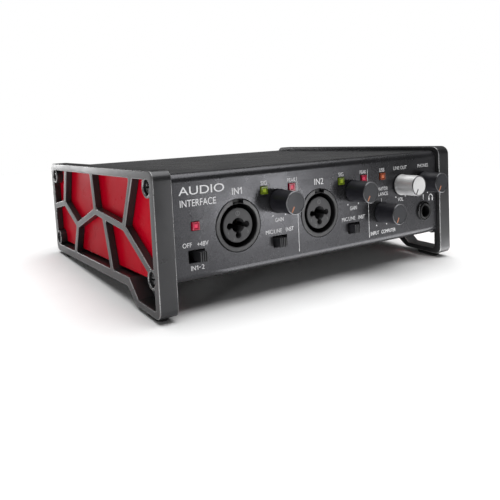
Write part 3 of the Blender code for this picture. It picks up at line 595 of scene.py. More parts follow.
def lattice_cells():
    """Outlines of the seven openings between the ribs, as (y, z) polygons."""
    top = -BORDER
    front = 4.5 * MM
    rear_top = (145.6 * MM, top)
    rear_low = (143.6 * MM, CELL_FLOOR)
    rear_end = (144.7 * MM, -25.9 * MM)
    rear_joint = (126.0 * MM, -22.7 * MM)
    low_joint = (103.3 * MM, -33.4 * MM)
    middle_joint = (72.8 * MM, -22.9 * MM)
    branch_joint = (61.0 * MM, -24.2 * MM)
    front_joint = (35.0 * MM, -26.8 * MM)
    front_end = (front, -44.9 * MM)
    rear_rib_top = (120.5 * MM, top)
    middle_rib_top = (75.9 * MM, top)
    front_rib_top = (23.7 * MM, top)
    low_rib_foot = (110.5 * MM, CELL_FLOOR)
    branch_foot = (53.4 * MM, CELL_FLOOR)
    ramp_top = (32.2 * MM, CELL_FLOOR)
    ramp_foot = (23.1 * MM, -57.9 * MM)
    toe = (front, -58.8 * MM)
    half = RIB / 2
    cells = [
        ([rear_rib_top, rear_top, rear_end, rear_joint], [0, 0, half, half]),
        ([rear_joint, rear_end, rear_low, low_rib_foot, low_joint], [half, 0, 0, half, half]),
        ([rear_rib_top, rear_joint, low_joint, middle_joint, middle_rib_top], [half, half, half, half, 0]),
        ([low_joint, low_rib_foot, branch_foot, branch_joint, middle_joint], [half, 0, half, half, half]),
        ([middle_rib_top, middle_joint, front_joint, front_rib_top], [half, half, half, 0]),
        ([front_rib_top, front_joint, front_end, (front, top)], [half, half, 0, 0]),
        ([branch_joint, branch_foot, ramp_top, ramp_foot, toe, front_end, front_joint],
         [half, 0, 0, 0, 0, half, half]),
    ]
    corner = 0.9 * MM
    return [rounded([(*point, corner) for point in inset(*cell)], steps=4) for cell in cells]


def insert_outline(shrink):
    low = CELL_FLOOR + 1.3 * MM
    corners = [
        (3.2 * MM + shrink, -2.8 * MM - shrink, 4.0 * MM),
        (146.6 * MM - shrink, -2.8 * MM - shrink, 4.0 * MM),
        (144.6 * MM - shrink, low + shrink, 4.0 * MM),
        (3.2 * MM + shrink, low + shrink, 4.0 * MM),
    ]
    return rounded(corners)


def boss_tool(side, radius):
    bm = bmesh.new()
    low, high = sorted((side * (HALF_WIDTH + 5 * MM), side * (CASE_HALF_WIDTH - 5 * MM)))
    for y, z in flat(SCREW_PLACES):
        prism(bm, circle(y, z, radius), "x", low, high)
    return new_object("boss_tool", bm)


def side_frame(side, word):
    """Ribbed frame, cut by screw recesses, the cells between the ribs and the insert's pocket."""
    outer = side * HALF_WIDTH
    inner = side * (HALF_WIDTH - FRAME_THICKNESS)
    obj = extruded(word + "_side_frame_shell", frame_outline(), "x", *sorted((outer, inner)))
    low, high = sorted((outer + side * MM, outer - side * 2.4 * MM))
    bm = bmesh.new()
    for y, z in flat(SCREW_PLACES):
        prism(bm, circle(y, z, RECESS_RADIUS), "x", low, high)
    cut(obj, bm)

    bosses = boss_tool(side, BOSS_RADIUS)
    bm = bmesh.new()
    for cell in lattice_cells():
        prism(bm, cell, "x", *sorted((outer + side * MM, inner - side * MM)))
    cells = new_object("cell_tool", bm)
    ends = sorted((outer - side * LATTICE_DEPTH, inner - side * MM))
    pocket = extruded("pocket_tool", insert_outline(0.0), "x", *ends)
    for tool in (cells, pocket):
        cut_object(tool, bosses)
        cut_object(obj, tool)
    for tool in (bosses, cells, pocket):
        bpy.data.objects.remove(tool, do_unlink=True)
    # The rounded edges get the lighter material, a painted highlight
    round_outlines(obj, (outer, inner), EDGE_HIGHLIGHT_WIDTH, "frame_edge_highlight")
    finish(obj, "frame", "side_frame_paint", "case", word + "_side_frame")


def side_insert(side, word):
    """Glossy slab behind the ribs, cut around the frame's screw bosses."""
    face = HALF_WIDTH - LATTICE_DEPTH - GAP
    ends = sorted((side * face, side * (CASE_HALF_WIDTH + 2 * GAP)))
    obj = extruded(word + "_side_insert_plate", insert_outline(GAP), "x", *ends)
    bosses = boss_tool(side, BOSS_RADIUS + GAP)
    cut_object(obj, bosses)
    bpy.data.objects.remove(bosses, do_unlink=True)
    soften(obj, 0.3 * MM)
    finish(obj, "insert", "side_insert_red", "case", word + "_side_insert")


def side_screw(side, word, place, y, z):
    """Low domed screw head with a cross recess, on a plain shank."""
    head = HALF_WIDTH - 0.6 * MM
    radius = 2.85 * MM
    profile = [(0.0, head)]
    for k in range(1, 7):
        angle = math.radians(15 * k)
        profile.append((radius * math.sin(angle), head - 0.9 * MM * (1 - math.cos(angle))))
    under, end = head - 1.5 * MM, CASE_HALF_WIDTH - 3 * MM
    profile += [(radius, under), (SHANK_RADIUS, under), (SHANK_RADIUS, end), (0.0, end)]
    bm = bmesh.new()
    lathe(bm, [(r, side * d) for r, d in profile], 40, axis="x")
    obj = new_object(f"{word}_screw_{place}_head", bm, (0.0, y, z))
    arm, width = 1.75 * MM, 0.36 * MM
    cross = [(arm, width), (width, width), (width, arm), (-width, arm), (-width, width), (-arm, width),
             (-arm, -width), (-width, -width), (-width, -arm), (width, -arm), (width, -width), (arm, -width)]
    turn = math.radians(20 + 37 * len(place))
    c, s = math.cos(turn), math.sin(turn)
    cross = [(a * c - b * s, a * s + b * c) for a, b in cross]
    bm = bmesh.new()
    prism(bm, cross, "x", *sorted((side * (head + MM), side * (head - 1.1 * MM))))
    cut(obj, bm, (0.0, y, z))
    smooth(obj, 30)
    finish(obj, "screw", "screw_black", "case", f"{word}_screw_{place}")


def foot_pad(side, word, end):
    """Rubber pad with round ends; its top follows the frame and its bottom lies on the table."""
    name = f"{word}_{end}_foot_pad"
    x = side * (HALF_WIDTH - FRAME_THICKNESS / 2)
    y = (12.0 if end == "front" else 136.0) * MM
    half_width, half_length = 2.95 * MM, 6.45 * MM
    bm = bmesh.new()
    layers = []
    for level, shrink in ((0.0, 0.0), (0.72, 0.0), (0.93, 0.12), (1.0, 0.4)):
        w, h = half_width - shrink * MM, half_length - shrink * MM
        corners = [(x + a * w, y + b * h, w * 0.97) for a, b in SQUARE]
        layer = []
        for a, b in rounded(corners, 8):
            top = foot_line(b) if end == "front" else -REAR_HEIGHT
            bottom = foot_line(b) - 2.15 * MM
            layer.append(bm.verts.new((a, b, top + (bottom - top) * level)))
        layers.append(layer)
    for upper, lower in zip(layers, layers[1:]):
        bridge(bm, upper, lower)
    bm.faces.new(layers[0])
    bm.faces.new(layers[-1])
    obj = new_object(name + "_rubber", bm)
    smooth(obj, 50)
    finish(obj, "rubber", "foot_rubber", "case", name)


# ---- case

def cover_profile():
    """Section of the bent sheet, as (y, z) points: top, front and the lip under the front edge."""
    outer, inner = EDGE_RADIUS, EDGE_RADIUS - SHEET
    lip = PANEL + 4.6 * MM
    end = CASE_REAR + 0.4 * MM
    back = PANEL + SHEET
    corners = [
        (end, CASE_TOP, 0.0),
        (PANEL, CASE_TOP, outer),
        (PANEL, CASE_BOTTOM, outer),
        (lip, CASE_BOTTOM, 0.0),
        (lip, CASE_BOTTOM + SHEET, 0.0),
        (back, CASE_BOTTOM + SHEET, inner),
        (back, CASE_TOP - SHEET, inner),
        (end, CASE_TOP - SHEET, 0.0),
    ]
    return rounded(corners, steps=12)


def front_top_cover():
    obj = extruded("front_top_cover_sheet", cover_profile(), "x", -CASE_HALF_WIDTH, CASE_HALF_WIDTH)
    outlines = [circle(x, z, COMBO_HOLE, 96) for x, z in flat(COMBO_PLACES.values())]
    outlines += [circle(x, z, KNOB_HOLE) for x, z in flat(KNOB_PLACES.values())]
    centres = [(x, SWITCH_ROW, *SWITCH_HOLE) for x, _ in SWITCH_PLACES.values()]
    centres += [(x, z, *LED_HOLE) for x, z in LED_PLACES.values()]
    outlines += [flat(rectangle(x - w, z - h, x + w, z + h)) for x, z, w, h in centres]
    outlines.append(circle(*flat([PHONES_JACK])[0], JACK_HOLE))
    bm = bmesh.new()
    for outline in outlines:
        hole(bm, outline, PANEL, SHEET + 2 * MM, HOLE_CHAMFER)
    cut(obj, bm)
    weigh(obj)
    finish(obj, "panel", "cover_paint", "case", "front_top_cover")


def bottom_chassis():
    """Tray with side walls and the rear panel, cut for the rear sockets."""
    wall_top = CASE_TOP - SHEET - 2 * GAP
    floor = CASE_BOTTOM + SHEET
    front = PANEL + SHEET + GAP
    lip_clear = PANEL + 4.9 * MM
    outline = [
        (front, wall_top - 2.4 * MM), (front + 2.4 * MM, wall_top), (CASE_REAR, wall_top),
        (CASE_REAR, CASE_BOTTOM), (lip_clear, CASE_BOTTOM), (lip_clear, floor + GAP),
        (front, floor + 2.6 * MM),
    ]
    obj = extruded("bottom_chassis_tray", outline, "x", -CASE_HALF_WIDTH, CASE_HALF_WIDTH)
    inner = CASE_HALF_WIDTH - SHEET
    cut_boxes(obj, [((-inner, -5 * MM, floor), (inner, CASE_REAR - SHEET, 5 * MM))])
    outlines = [circle(x, z, JACK_HOLE) for x, z in flat(LINE_OUT_PLACES.values())]
    outlines += [circle(x, z, MIDI_HOLE, 64) for x, z in flat(MIDI_PLACES.values())]
    x, z = flat([USB_PLACE])[0]
    outlines.append(rounded([(x + a * 5.0 * MM, z + b * 2.1 * MM, 1.9 * MM) for a, b in SQUARE]))
    outlines.append(circle(*flat([DC_PLACE])[0], DC_HOLE))
    bm = bmesh.new()
    for outline in outlines:
        hole(bm, outline, CASE_REAR, 3 * MM, HOLE_CHAMFER, -1)
    cut(obj, bm)
    weigh(obj)
    finish(obj, "chassis", "chassis_paint", "case", "bottom_chassis")


# ---- controls

def knob(name, x, z):
    """Turned knob: soft body with a flared skirt, bright chamfer, sunk cap and a pointer at its low end."""
    silver = name == "line_out"
    body = name + "_knob_body"
    slot = "knob_silver" if silver else "knob_black"
    place = (x, 0.0, z)
    front, back = PANEL - KNOB_REACH, PANEL - 0.8 * MM
    f, b = front / MM, back / MM
    grip = [
        (0.0, f + 0.5), (4.9, f + 0.5), (5.05, f + 0.36), (5.4, f + 0.36), (5.4, b - 3.4), (5.44, b - 2.2),
        (5.62, b - 0.9), (5.7, b - 0.4), (5.62, b), (4.2, b), (4.2, -1.0), (2.8, -1.0), (2.8, -6.8),
        (0.0, -6.8),
    ]
    edge = [(4.86, f + 0.12), (5.02, f), (5.12, f), (5.4, f + 0.3), (5.4, f + 0.42), (4.86, f + 0.42)]
    cap = [(0.0, f + 0.1), (4.7, f + 0.1), (4.82, f + 0.2), (4.82, f + 0.55), (0.0, f + 0.55)]
    turned(name + "_knob_grip", grip, 72, place, 32, "silver" if silver else "knob", slot, body,
           name + "_knob")
    turned(name + "_knob_edge", edge, 72, place, 25, "edge", slot, body)
    turned(name + "_knob_cap", cap, 72, place, 25, "silver_cap" if silver else "cap", slot, body)

    across = Vector((math.cos(POINTER_ANGLE), -math.sin(POINTER_ANGLE))) * 0.34 * MM
    along = Vector((math.sin(POINTER_ANGLE), math.cos(POINTER_ANGLE)))
    near, far = (along * reach * MM for reach in POINTER_REACH)
    outline = [near + across, far + across, far - across, near - across]
    obj = extruded(name + "_knob_pointer", outline, "y", front + 0.03 * MM, front + 0.2 * MM, place)
    soften(obj, 0.03 * MM, 1)
    finish(obj, "pointer_dark" if silver else "pointer", slot, body)


def potentiometer(name, x, z):
    """Bushing in front of the CAD's potentiometer can, which stays, as does its shaft."""
    bushing = [(2.78, 0.7), (3.6, 0.7), (3.7, 0.8), (3.7, 8.0), (2.78, 8.0)]
    turned(name + "_potentiometer_bushing", bushing, 40, (x, 0.0, z), 35, "can", "potentiometer_can")
    paint_node(name + "_potentiometer", "can")
    paint_node(name + "_shaft", "shaft")


def led(name, x, z):
    """Square lens: a rounded shell around a sunk, brighter core."""
    slot = LED_SLOTS[name]
    shell, recess, core = 1.8 * MM, 1.05 * MM, 0.9 * MM
    obj = block(name + "_lens", around(x, z, shell, shell, PANEL - 0.8 * MM, PANEL + 9.0 * MM))
    cut_boxes(obj, [around(x, z, recess, recess, PANEL - 2 * MM, PANEL - 0.45 * MM)])
    soften(obj, 0.22 * MM, 3)
    finish(obj, slot, slot, "case", name)
    obj = block(name + "_core", around(x, z, core, core, PANEL - 0.62 * MM, PANEL - 0.4 * MM))
    soften(obj, 0.12 * MM)
    finish(obj, slot + "_core", slot)


def slide_switch(name, x, side):
    """Switch body behind the panel and a slider with three grooves, resting to one side."""
    x, z = x * MM, SWITCH_ROW * MM
    obj = block(name + "_switch_body", around(x, z, 6 * MM, 4.2 * MM, PANEL + SHEET + GAP, 10 * MM))
    cut_boxes(obj, [around(x, z, 3.95 * MM, 2.7 * MM, PANEL, 8.5 * MM)])
    soften(obj, 0.15 * MM, 1)
    finish(obj, "switch", "switch_black", "case", name + "_switch")

    place = (x + side * SLIDER_OFFSET, 0.0, z)
    front = PANEL - 4.15 * MM
    obj = block(name + "_slider_handle", around(0.0, 0.0, 1.78 * MM, 2.2 * MM, front, 8.15 * MM), place)
    grooves = [around(k * MM, 0.0, 0.28 * MM, 3 * MM, front - MM, front + 0.55 * MM) for k in (-1, 0, 1)]
    cut_boxes(obj, grooves, place)
    soften(obj, 0.1 * MM)
    finish(obj, "slider", "slider_black", name + "_slider_body", name + "_slider")


# ---- sockets

def combo_jack(name, x, z):
    """Combination jack: housing, face ring, release tab in its slot, sunk core with marks, and contacts."""
    place = (x, 0.0, z)
    face, sunk = PANEL - 0.3 * MM, PANEL + 0.5 * MM
    f, s = face / MM, sunk / MM
    obj = block(name + "_housing", around(0.0, 0.0, 12.2 * MM, 12.2 * MM, 4.1 * MM, 33.9 * MM), place)
    drill(obj, [circle(0, 0, 10.0 * MM, 72)], 3.0 * MM, 17.0 * MM, place)
    drill(obj, [circle(0, 0, 6.6 * MM)], 16.0 * MM, 30.0 * MM, place)
    soften(obj, 0.2 * MM, 1)
    finish(obj, "socket", "socket_black", "case", name)

    ring = [(10.0, f + 0.15), (10.15, f), (11.5, f), (11.75, f + 0.25), (11.75, 4.6), (10.4, 4.6),
            (10.4, f + 0.75), (10.0, f + 0.75)]
    bm = bmesh.new()
    lathe(bm, flat(ring), 96)
    obj = new_object(name + "_ring", bm, place)
    cut_boxes(obj, [((-2.9 * MM, face - MM, 8 * MM), (2.9 * MM, 4.5 * MM, 13 * MM))], place)
    smooth(obj, 30)
    finish(obj, "socket_ring", "socket_black")

    tab = rounded(flat([(-2.3, 9.2, 0.5), (2.3, 9.2, 0.5), (2.3, 11.2, 0.8), (-2.3, 11.2, 0.8)]))
    obj = extruded(name + "_release_tab", tab, "y", face + 2.9 * MM, 5.5 * MM, place)
    soften(obj, 0.2 * MM)
    finish(obj, "socket", "socket_black")

    bm = bmesh.new()
    lathe(bm, flat([(0.0, s), (7.5, s), (7.68, s + 0.18), (7.68, 16.5), (0.0, 16.5)]), 96)
    obj = new_object(name + "_core", bm, place)
    drill(obj, [circle(0, 0, 3.4 * MM)], sunk - 2 * MM, 18 * MM, place)
    drill(obj, [circle(a, b, 1.55 * MM) for a, b in COMBO_PINS], sunk - 2 * MM, 14 * MM, place)
    soften(obj, 0.16 * MM, angle=math.radians(50))
    finish(obj, "socket_insert", "socket_black")

    # Black sleeves over the grey walls of the groove: painted shade that darkens the deep slot
    bm = bmesh.new()
    for radius, start in ((7.6, s + 0.25), (9.82, f + 0.25)):
        lathe(bm, flat([(radius, start), (radius + 0.22, start), (radius + 0.22, 16.4), (radius, 16.4)]), 96)
    obj = new_object(name + "_groove_painted_shade", bm, place)
    smooth(obj)
    finish(obj, "socket", "socket_black")

    bm = bmesh.new()
    figure_one(bm, -5.6, -5.1, -3.2, 1.3, sunk)
    for number, a, b in (("2", -2.4, -5.9), ("3", 5.0, -3.4)):
        letters(bm, number, a - 0.45, a + 0.45, b, 1.3, sunk)
    lathe(bm, flat([(0.85, s), (0.85, s - 0.1), (1.15, s - 0.1), (1.15, s)]), 32, (0.0, 5.4 * MM))
    box(bm, (-0.14 * MM, sunk - 0.1 * MM, 4.7 * MM), (0.14 * MM, sunk, 6.1 * MM))
    obj = new_object(name + "_core_marks", bm, place)
    smooth(obj)
    finish(obj, "socket_mark", "socket_black")

    bm = bmesh.new()
    for pin in COMBO_PINS:
        lathe(bm, flat([(0.75, 12.2), (1.1, 12.0), (1.3, 12.2), (1.3, 13.5), (0.75, 13.5)]), 24, pin)
    obj = new_object(name + "_contacts", bm, place)
    smooth(obj)
    finish(obj, "contact_dull", "socket_black")


def round_jack(name, nut_name, place, face, inward, metal):
    """Quarter-inch jack: barrel with a rim, a nut ring around it and a contact deep inside."""
    x, z = place
    here = (x, 0.0, z)
    f, s = face / MM, inward
    ends = sorted((face + s * 1.8 * MM, face + s * 31.7 * MM))
    obj = block(name + "_housing", around(0.0, 0.0, 6.8 * MM, 6.8 * MM, *ends), here)
    drill(obj, [circle(0, 0, 4.3 * MM)], *sorted((face, face + s * 29.5 * MM)), here)
    soften(obj, 0.2 * MM, 1)
    finish(obj, "socket", "socket_black", "case", name)

    barrel = [(3.3, f - s * 1.3), (3.5, f - s * 1.55), (4.1, f - s * 1.55), (4.35, f - s * 1.3),
              (4.35, f + s * 12.0), (3.3, f + s * 12.0)]
    ring = [(4.5, f - s * 0.75), (4.9, f - s * 1.2), (5.2, f - s * 1.15), (5.38, f - s * 0.8),
            (5.4, f - s * 0.02), (4.5, f - s * 0.02)]
    contact = [(2.9, f + s * 9.0), (3.25, f + s * 8.6), (3.25, f + s * 11.0), (2.9, f + s * 11.0)]
    lining = "socket" if metal == "nut" else metal
    turned(name + "_barrel", barrel, 56, here, 35, lining, "socket_black")
    turned(name + "_ring", ring, 56, here, 50, metal, "nut_black" if metal == "nut" else "nut_nickel",
           "case", nut_name)
    turned(name + "_contact", contact, 40, here, 35, "contact", "socket_black")


def midi_socket(name, x, z):
    """Five-pin socket: housing, rim, and a core with pin holes, a key slot and contacts."""
    place = (x, 0.0, z)
    r = CASE_REAR / MM
    obj = block(name + "_housing", around(0.0, 0.0, 9 * MM, 9 * MM, (r - 14.4) * MM, (r - 1.9) * MM), place)
    drill(obj, [circle(0, 0, 7.5 * MM, 64)], (r - 9.5) * MM, (r + 1) * MM, place)
    soften(obj, 0.2 * MM, 1)
    finish(obj, "socket", "socket_black", "case", name)
    rim = [(6.9, r + 0.1), (7.1, r + 0.38), (7.45, r + 0.38), (7.6, r + 0.2), (7.6, r - 9.0), (6.9, r - 9.0)]
    turned(name + "_rim", rim, 72, place, 35, "socket", "socket_black")
    bm = bmesh.new()
    lathe(bm, flat([(0.0, r - 0.4), (5.7, r - 0.4), (5.9, r - 0.6), (5.9, r - 9.0), (0.0, r - 9.0)]), 72)
    obj = new_object(name + "_core", bm, place)
    bm = bmesh.new()
    for a, b in MIDI_PINS:
        prism(bm, circle(a, b, 0.8 * MM, 24), "y", (r - 6.0) * MM, (r + 1) * MM)
    box(bm, (-1.0 * MM, (r - 5) * MM, 4.9 * MM), (1.0 * MM, (r + 1) * MM, 6.5 * MM))
    cut(obj, bm, place)
    soften(obj, 0.12 * MM, angle=math.radians(50))
    finish(obj, "socket", "socket_black")
    bm = bmesh.new()
    for pin in MIDI_PINS:
        lathe(bm, flat([(0.45, r - 1.5), (0.74, r - 1.4), (0.74, r - 5.8), (0.45, r - 5.8)]), 16, pin)
    obj = new_object(name + "_contacts", bm, place)
    smooth(obj)
    finish(obj, "contact", "socket_black")


def oblong(half_width, half_height, radius):
    """Rounded rectangle about the origin, from millimetres."""
    return rounded([(a * half_width * MM, b * half_height * MM, radius * MM) for a, b in SQUARE], 10)


def usb_port(place):
    r = CASE_REAR / MM
    obj = extruded("usb_c_shell", oblong(4.6, 1.75, 1.6), "y", (r - 8.4) * MM, (r - 0.02) * MM, place)
    drill(obj, [oblong(4.25, 1.4, 1.3)], (r - 7.5) * MM, (r + 1) * MM, place)
    soften(obj, 0.1 * MM, angle=math.radians(60))
    finish(obj, "nickel", "port_shell", "case", "usb_c_port")
    obj = extruded("usb_c_tongue", oblong(3.3, 0.35, 0.3), "y", (r - 7.6) * MM, (r - 0.8) * MM, place)
    soften(obj, 0.08 * MM, 1, math.radians(60))
    finish(obj, "socket", "socket_black")


def dc_inlet(place):
    r = CASE_REAR / MM
    corners = around(0.0, 0.0, 4.5 * MM, 5.5 * MM, (r - 14.4) * MM, (r - 1.9) * MM)
    obj = block("dc_inlet_housing", corners, place)
    drill(obj, [circle(0, 0, 2.9 * MM)], (r - 10.5) * MM, r * MM, place)
    soften(obj, 0.2 * MM, 1)
    finish(obj, "socket", "socket_black", "case", "dc_inlet")
    collar = [(2.9, r), (3.1, r + 0.18), (3.85, r + 0.18), (4.0, r), (4.0, r - 2.5), (2.9, r - 2.5)]
    pin = [(0.0, r - 0.6), (0.7, r - 0.6), (1.0, r - 1.0), (1.0, r - 10.6), (0.0, r - 10.6)]
    turned("dc_inlet_collar", collar, 48, place, 35, "socket", "socket_black")
    turned("dc_inlet_pin", pin, 24, place, 50, "nickel", "socket_black")


# ---- legends

def letters(bm, words, left, right, middle, height, face, facing=-1):
    """Lettering of a given width and cap height on the front (facing -1) or rear (+1) panel, in mm."""
    curve = bpy.data.curves.new("legend", "FONT")
    curve.body = words
    text = bpy.data.objects.new("legend", curve)
    bpy.context.scene.collection.objects.link(text)
    bpy.context.view_layer.update()
    mesh = bpy.data.meshes.new_from_object(text.evaluated_get(bpy.context.evaluated_depsgraph_get()))
    xs = [v.co.x for v in mesh.vertices]
    ys = [v.co.y for v in mesh.vertices]
    low_x, low_y = min(xs), min(ys)
    wide, tall = max(xs) - low_x, max(ys) - low_y
    flip = 1 if facing < 0 else -1
    made = {}
    for vertex in mesh.vertices:
        a = left + (vertex.co.x - low_x) / wide * (right - left)
        b = middle - height / 2 + (vertex.co.y - low_y) / tall * height
        made[vertex.index] = bm.verts.new((flip * a * MM, face, b * MM))
    faces = [bm.faces.new([made[i] for i in polygon.vertices]) for polygon in mesh.polygons]
    extruded = bmesh.ops.extrude_face_region(bm, geom=faces)["geom"]
    lifted = [item for item in extruded if isinstance(item, bmesh.types.BMVert)]
    bmesh.ops.translate(bm, vec=(0.0, facing * LEGEND_THICKNESS, 0.0), verts=lifted)
    bpy.data.objects.remove(text, do_unlink=True)


def printed(bm, outline, face):
    """Printed shape on the front, from an outline in millimetres."""
    prism(bm, flat(outline), "y", face - LEGEND_THICKNESS, face)


def figure_one(bm, left, right, middle, height, face):
    """The figure 1 with a flag, so that it can't be read as a capital I."""
    low, high = middle - height / 2, middle + height / 2
    stroke = height * 0.14
    flag = high - height * 0.3
    outline = [(right - stroke, low), (right, low), (right, high), (right - stroke, high),
               (left, flag + stroke * 0.4), (left, flag - stroke), (right - stroke, high - height * 0.2)]
    printed(bm, outline, face)


def headphone_sign(bm, x, z, face):
    """Head band and two ear cups."""
    inner, outer = 1.45, 1.85
    for k in range(12):
        a, b = (math.radians(180 * t / 12) for t in (k, k + 1))
        corners = ((inner, a), (outer, a), (outer, b), (inner, b))
        printed(bm, [(x + r * math.cos(t), z + 1.15 * r * math.sin(t)) for r, t in corners], face)
    for side in (-1, 1):
        low, high = sorted((x + side * 1.0, x + side * outer))
        printed(bm, rectangle(low, z - 1.7, high, z), face)


def front_legends():
    face = PANEL + LEGEND_LIFT
    bm = bmesh.new()
    rows = [  # words, left, right, middle height, cap height
        ("AUDIO", -80.6, -58.1, -9.7, 3.6), ("INTERFACE", -80.2, -62.6, -15.0, 3.0),
        ("IN", -54.1, -50.6, -12.1, 3.0), ("IN2", -6.5, -0.7, -12.1, 3.0),
        ("SIG", -38.4, -35.0, -9.9, 1.9), ("PEAK", -23.2, -18.0, -9.9, 1.9),
        ("SIG", 9.4, 12.8, -9.9, 1.9), ("PEAK", 24.2, 28.8, -9.9, 1.9), ("USB", 38.6, 42.3, -9.9, 1.9),
        ("GAIN", -31.0, -26.2, -27.8, 1.9), ("GAIN", 16.6, 21.4, -27.8, 1.9),
        ("MIC/LINE", -36.7, -27.5, -33.0, 1.9), ("INST", -25.0, -20.4, -33.0, 1.9),
        ("MIC/LINE", 10.8, 20.0, -33.0, 1.9), ("INST", 22.2, 26.8, -33.0, 1.9),
        ("OFF", -80.0, -75.6, -32.8, 2.0), ("+48V", -73.0, -67.4, -33.0, 2.0),
        ("IN", -76.5, -74.3, -43.0, 2.0), ("2", -71.3, -70.0, -43.0, 2.0),
        ("MONITOR", 34.6, 44.6, -19.9, 1.9), ("BALANCE", 34.6, 44.6, -22.7, 1.9),
        ("INPUT", 30.9, 37.0, -42.9, 1.9), ("COMPUTER", 38.9, 49.7, -42.9, 1.9),
        ("LINE OUT", 49.4, 59.8, -9.8, 1.9), ("PHONES", 68.8, 77.6, -9.9, 1.9),
        ("VOL", 52.3, 56.4, -27.0, 1.9),
    ]
    for row in rows:
        letters(bm, *row, face)
    figure_one(bm, -50.1, -48.9, -12.1, 3.0, face)
    figure_one(bm, -73.9, -73.1, -43.0, 2.0, face)
    printed(bm, rectangle(-72.7, -43.1, -71.8, -42.85), face)
    lines = [(-17.4, -44.7, -8.8, 0.22), (29.8, -44.7, -8.8, 0.22), (73.0, -29.3, -26.1, 0.4),
             (39.5, -27.0, -24.9, 0.35)]
    for x, low, high, width in lines:
        printed(bm, rectangle(x - width / 2, low, x + width / 2, high), face)
    dots = [(-32.3, -25.7), (-24.9, -25.7), (15.2, -25.7), (22.6, -25.7), (50.7, -25.5), (58.2, -25.5),
            (35.4, -39.0), (42.9, -39.0), (69.3, -25.5), (76.7, -25.5)]
    for x, z in dots:
        printed(bm, circle(x, z, 0.38, 16), face)
    headphone_sign(bm, 79.3, -28.6, face)
    finish(new_object("front_legends", bm), "legend", "cover_paint")


def rear_legends():
    """Guessed legends. The panel is read from behind, so a row's left and right swap and turn negative."""
    bm = bmesh.new()
    rows = [
        ("LINE OUT", -64.0, -46.0, -12.5), ("L", -66.8, -65.2, -37.0), ("R", -44.8, -43.2, -37.0),
        ("MIDI IN", -16.0, -4.0, -12.5), ("MIDI OUT", 11.0, 25.0, -12.5),
        ("USB", 41.0, 47.0, -22.5), ("DC IN 5V", 59.5, 72.5, -22.5),
    ]
    for words, left, right, middle in rows:
        letters(bm, words, -right, -left, middle, 2.2, CASE_REAR - LEGEND_LIFT, 1)
    finish(new_object("rear_legends", bm), "legend", "chassis_paint")


# ---- stage

def stage_floor():
    """Pale disc that fades into the equally pale surroundings."""
    bm = bmesh.new()
    bm.faces.new([bm.verts.new((a, b, 0.0)) for a, b in circle(0, 0, FLOOR_RADIUS, 96)])
    mesh = bpy.data.meshes.new("floor")
    bm.to_mesh(mesh)
    bm.free()
    floor = bpy.data.objects.new("floor", mesh)
    bpy.context.scene.collection.objects.link(floor)
    floor.data.materials.append(surface("floor_pale", (0.93, 0.93, 0.93), 0.8, grain=3.0, depth=0.005,
                                        mottle=0.01, shine=0.0))


def add_light(name, kind, power):
    data = bpy.data.lights.new(name, kind)
    data.energy = power
    light = bpy.data.objects.new(name, data)
    bpy.context.scene.collection.objects.link(light)
    return light


def studio():
    """Surroundings that look white but light the object dimly, a wide soft sun from above and area lights."""
    world = bpy.data.worlds.new("studio")
    bpy.context.scene.world = world
    world.use_nodes = True
    tree = world.node_tree
    white = (1.0, 1.0, 1.0, 1.0)
    seen = tree.nodes["Background"]
    seen.inputs["Color"].default_value = white
    seen.inputs["Strength"].default_value = 1.0
    dim = node(tree, "ShaderNodeBackground", Color=white, Strength=WORLD_DIM)
    path = node(tree, "ShaderNodeLightPath")
    mix = node(tree, "ShaderNodeMixShader")
    tree.links.new(path.outputs["Is Camera Ray"], mix.inputs["Fac"])
    tree.links.new(dim.outputs["Background"], mix.inputs[1])
    tree.links.new(seen.outputs["Background"], mix.inputs[2])
    tree.links.new(mix.outputs["Shader"], tree.nodes["World Output"].inputs["Surface"])

    sun = add_light("sky", "SUN", SUN_POWER)
    sun.data.angle = math.radians(SUN_ANGLE)
    sun.rotation_euler = SUN_TILT
    for name, place, target, size, power in LIGHTS:
        light = add_light(name, "AREA", power)
        light.data.shape = "RECTANGLE"
        light.data.size, light.data.size_y = size
        light.location = place
        light.rotation_euler = (Vector(target) - Vector(place)).to_track_quat("-Z", "Y").to_euler()
        light.visible_camera = False
    bpy.context.scene.view_settings.view_transform = "Standard"


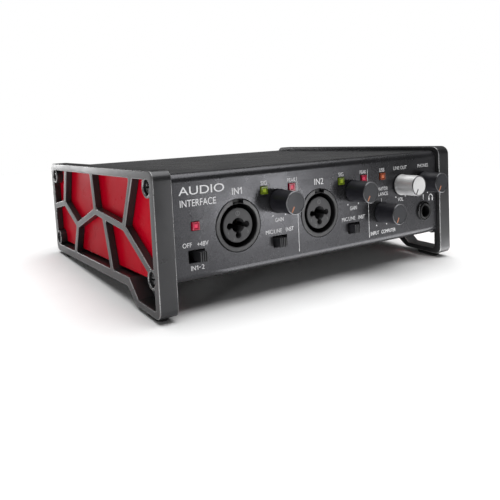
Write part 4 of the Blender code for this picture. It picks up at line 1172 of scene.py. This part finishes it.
def camera():
    """Camera at the photograph's viewing angle, fitted to corners and centres on the object."""
    data = bpy.data.cameras.new("camera")
    data.sensor_width = 36.0
    data.lens = CAMERA_LENS
    data.shift_x, data.shift_y = CAMERA_SHIFT
    data.clip_start = 0.01
    data.clip_end = 50.0
    obj = bpy.data.objects.new("camera", data)
    flat_reach = math.cos(CAMERA_PITCH)
    ahead = Vector((math.sin(CAMERA_YAW) * flat_reach, math.cos(CAMERA_YAW) * flat_reach,
                    -math.sin(CAMERA_PITCH)))
    level = Vector((math.cos(CAMERA_YAW), -math.sin(CAMERA_YAW), 0.0))
    above = level.cross(ahead)
    right = math.cos(CAMERA_ROLL) * level + math.sin(CAMERA_ROLL) * above
    up = -math.sin(CAMERA_ROLL) * level + math.cos(CAMERA_ROLL) * above
    turn = Matrix((right, up, -ahead)).transposed().to_4x4()
    obj.matrix_world = Matrix.Translation(CASE_ORIGIN + CAMERA_OFFSET) @ turn
    bpy.context.scene.collection.objects.link(obj)
    bpy.context.scene.camera = obj


def main():
    camera()
    studio()
    stage_floor()
    for side, word in ((-1, "left"), (1, "right")):
        side_frame(side, word)
        side_insert(side, word)
        for place, (y, z) in zip(("front_top", "front_low", "rear_top", "rear_low"), flat(SCREW_PLACES)):
            side_screw(side, word, place, y, z)
        foot_pad(side, word, "front")
        foot_pad(side, word, "rear")
    front_top_cover()
    bottom_chassis()
    for name, (x, z) in KNOB_PLACES.items():
        knob(name, x * MM, z * MM)
        potentiometer(name, x * MM, z * MM)
    for name, (x, z) in LED_PLACES.items():
        led(name, x * MM, z * MM)
    for name, (x, side) in SWITCH_PLACES.items():
        slide_switch(name, x, side)
    for name, (x, z) in COMBO_PLACES.items():
        combo_jack(name, x * MM, z * MM)
    round_jack("phones_jack", "phones_jack_nut", flat([PHONES_JACK])[0], PANEL, 1, "nut")
    for name, place in LINE_OUT_PLACES.items():
        round_jack(name + "_jack", name + "_nut", flat([place])[0], CASE_REAR, -1, "nickel")
    for name, (x, z) in MIDI_PLACES.items():
        midi_socket(name + "_socket", x * MM, z * MM)
    usb_port((USB_PLACE[0] * MM, 0.0, USB_PLACE[1] * MM))
    dc_inlet((DC_PLACE[0] * MM, 0.0, DC_PLACE[1] * MM))
    front_legends()
    rear_legends()
    for name in ("main_circuit_board", "front_circuit_board"):
        paint_node(name, "board")


main()
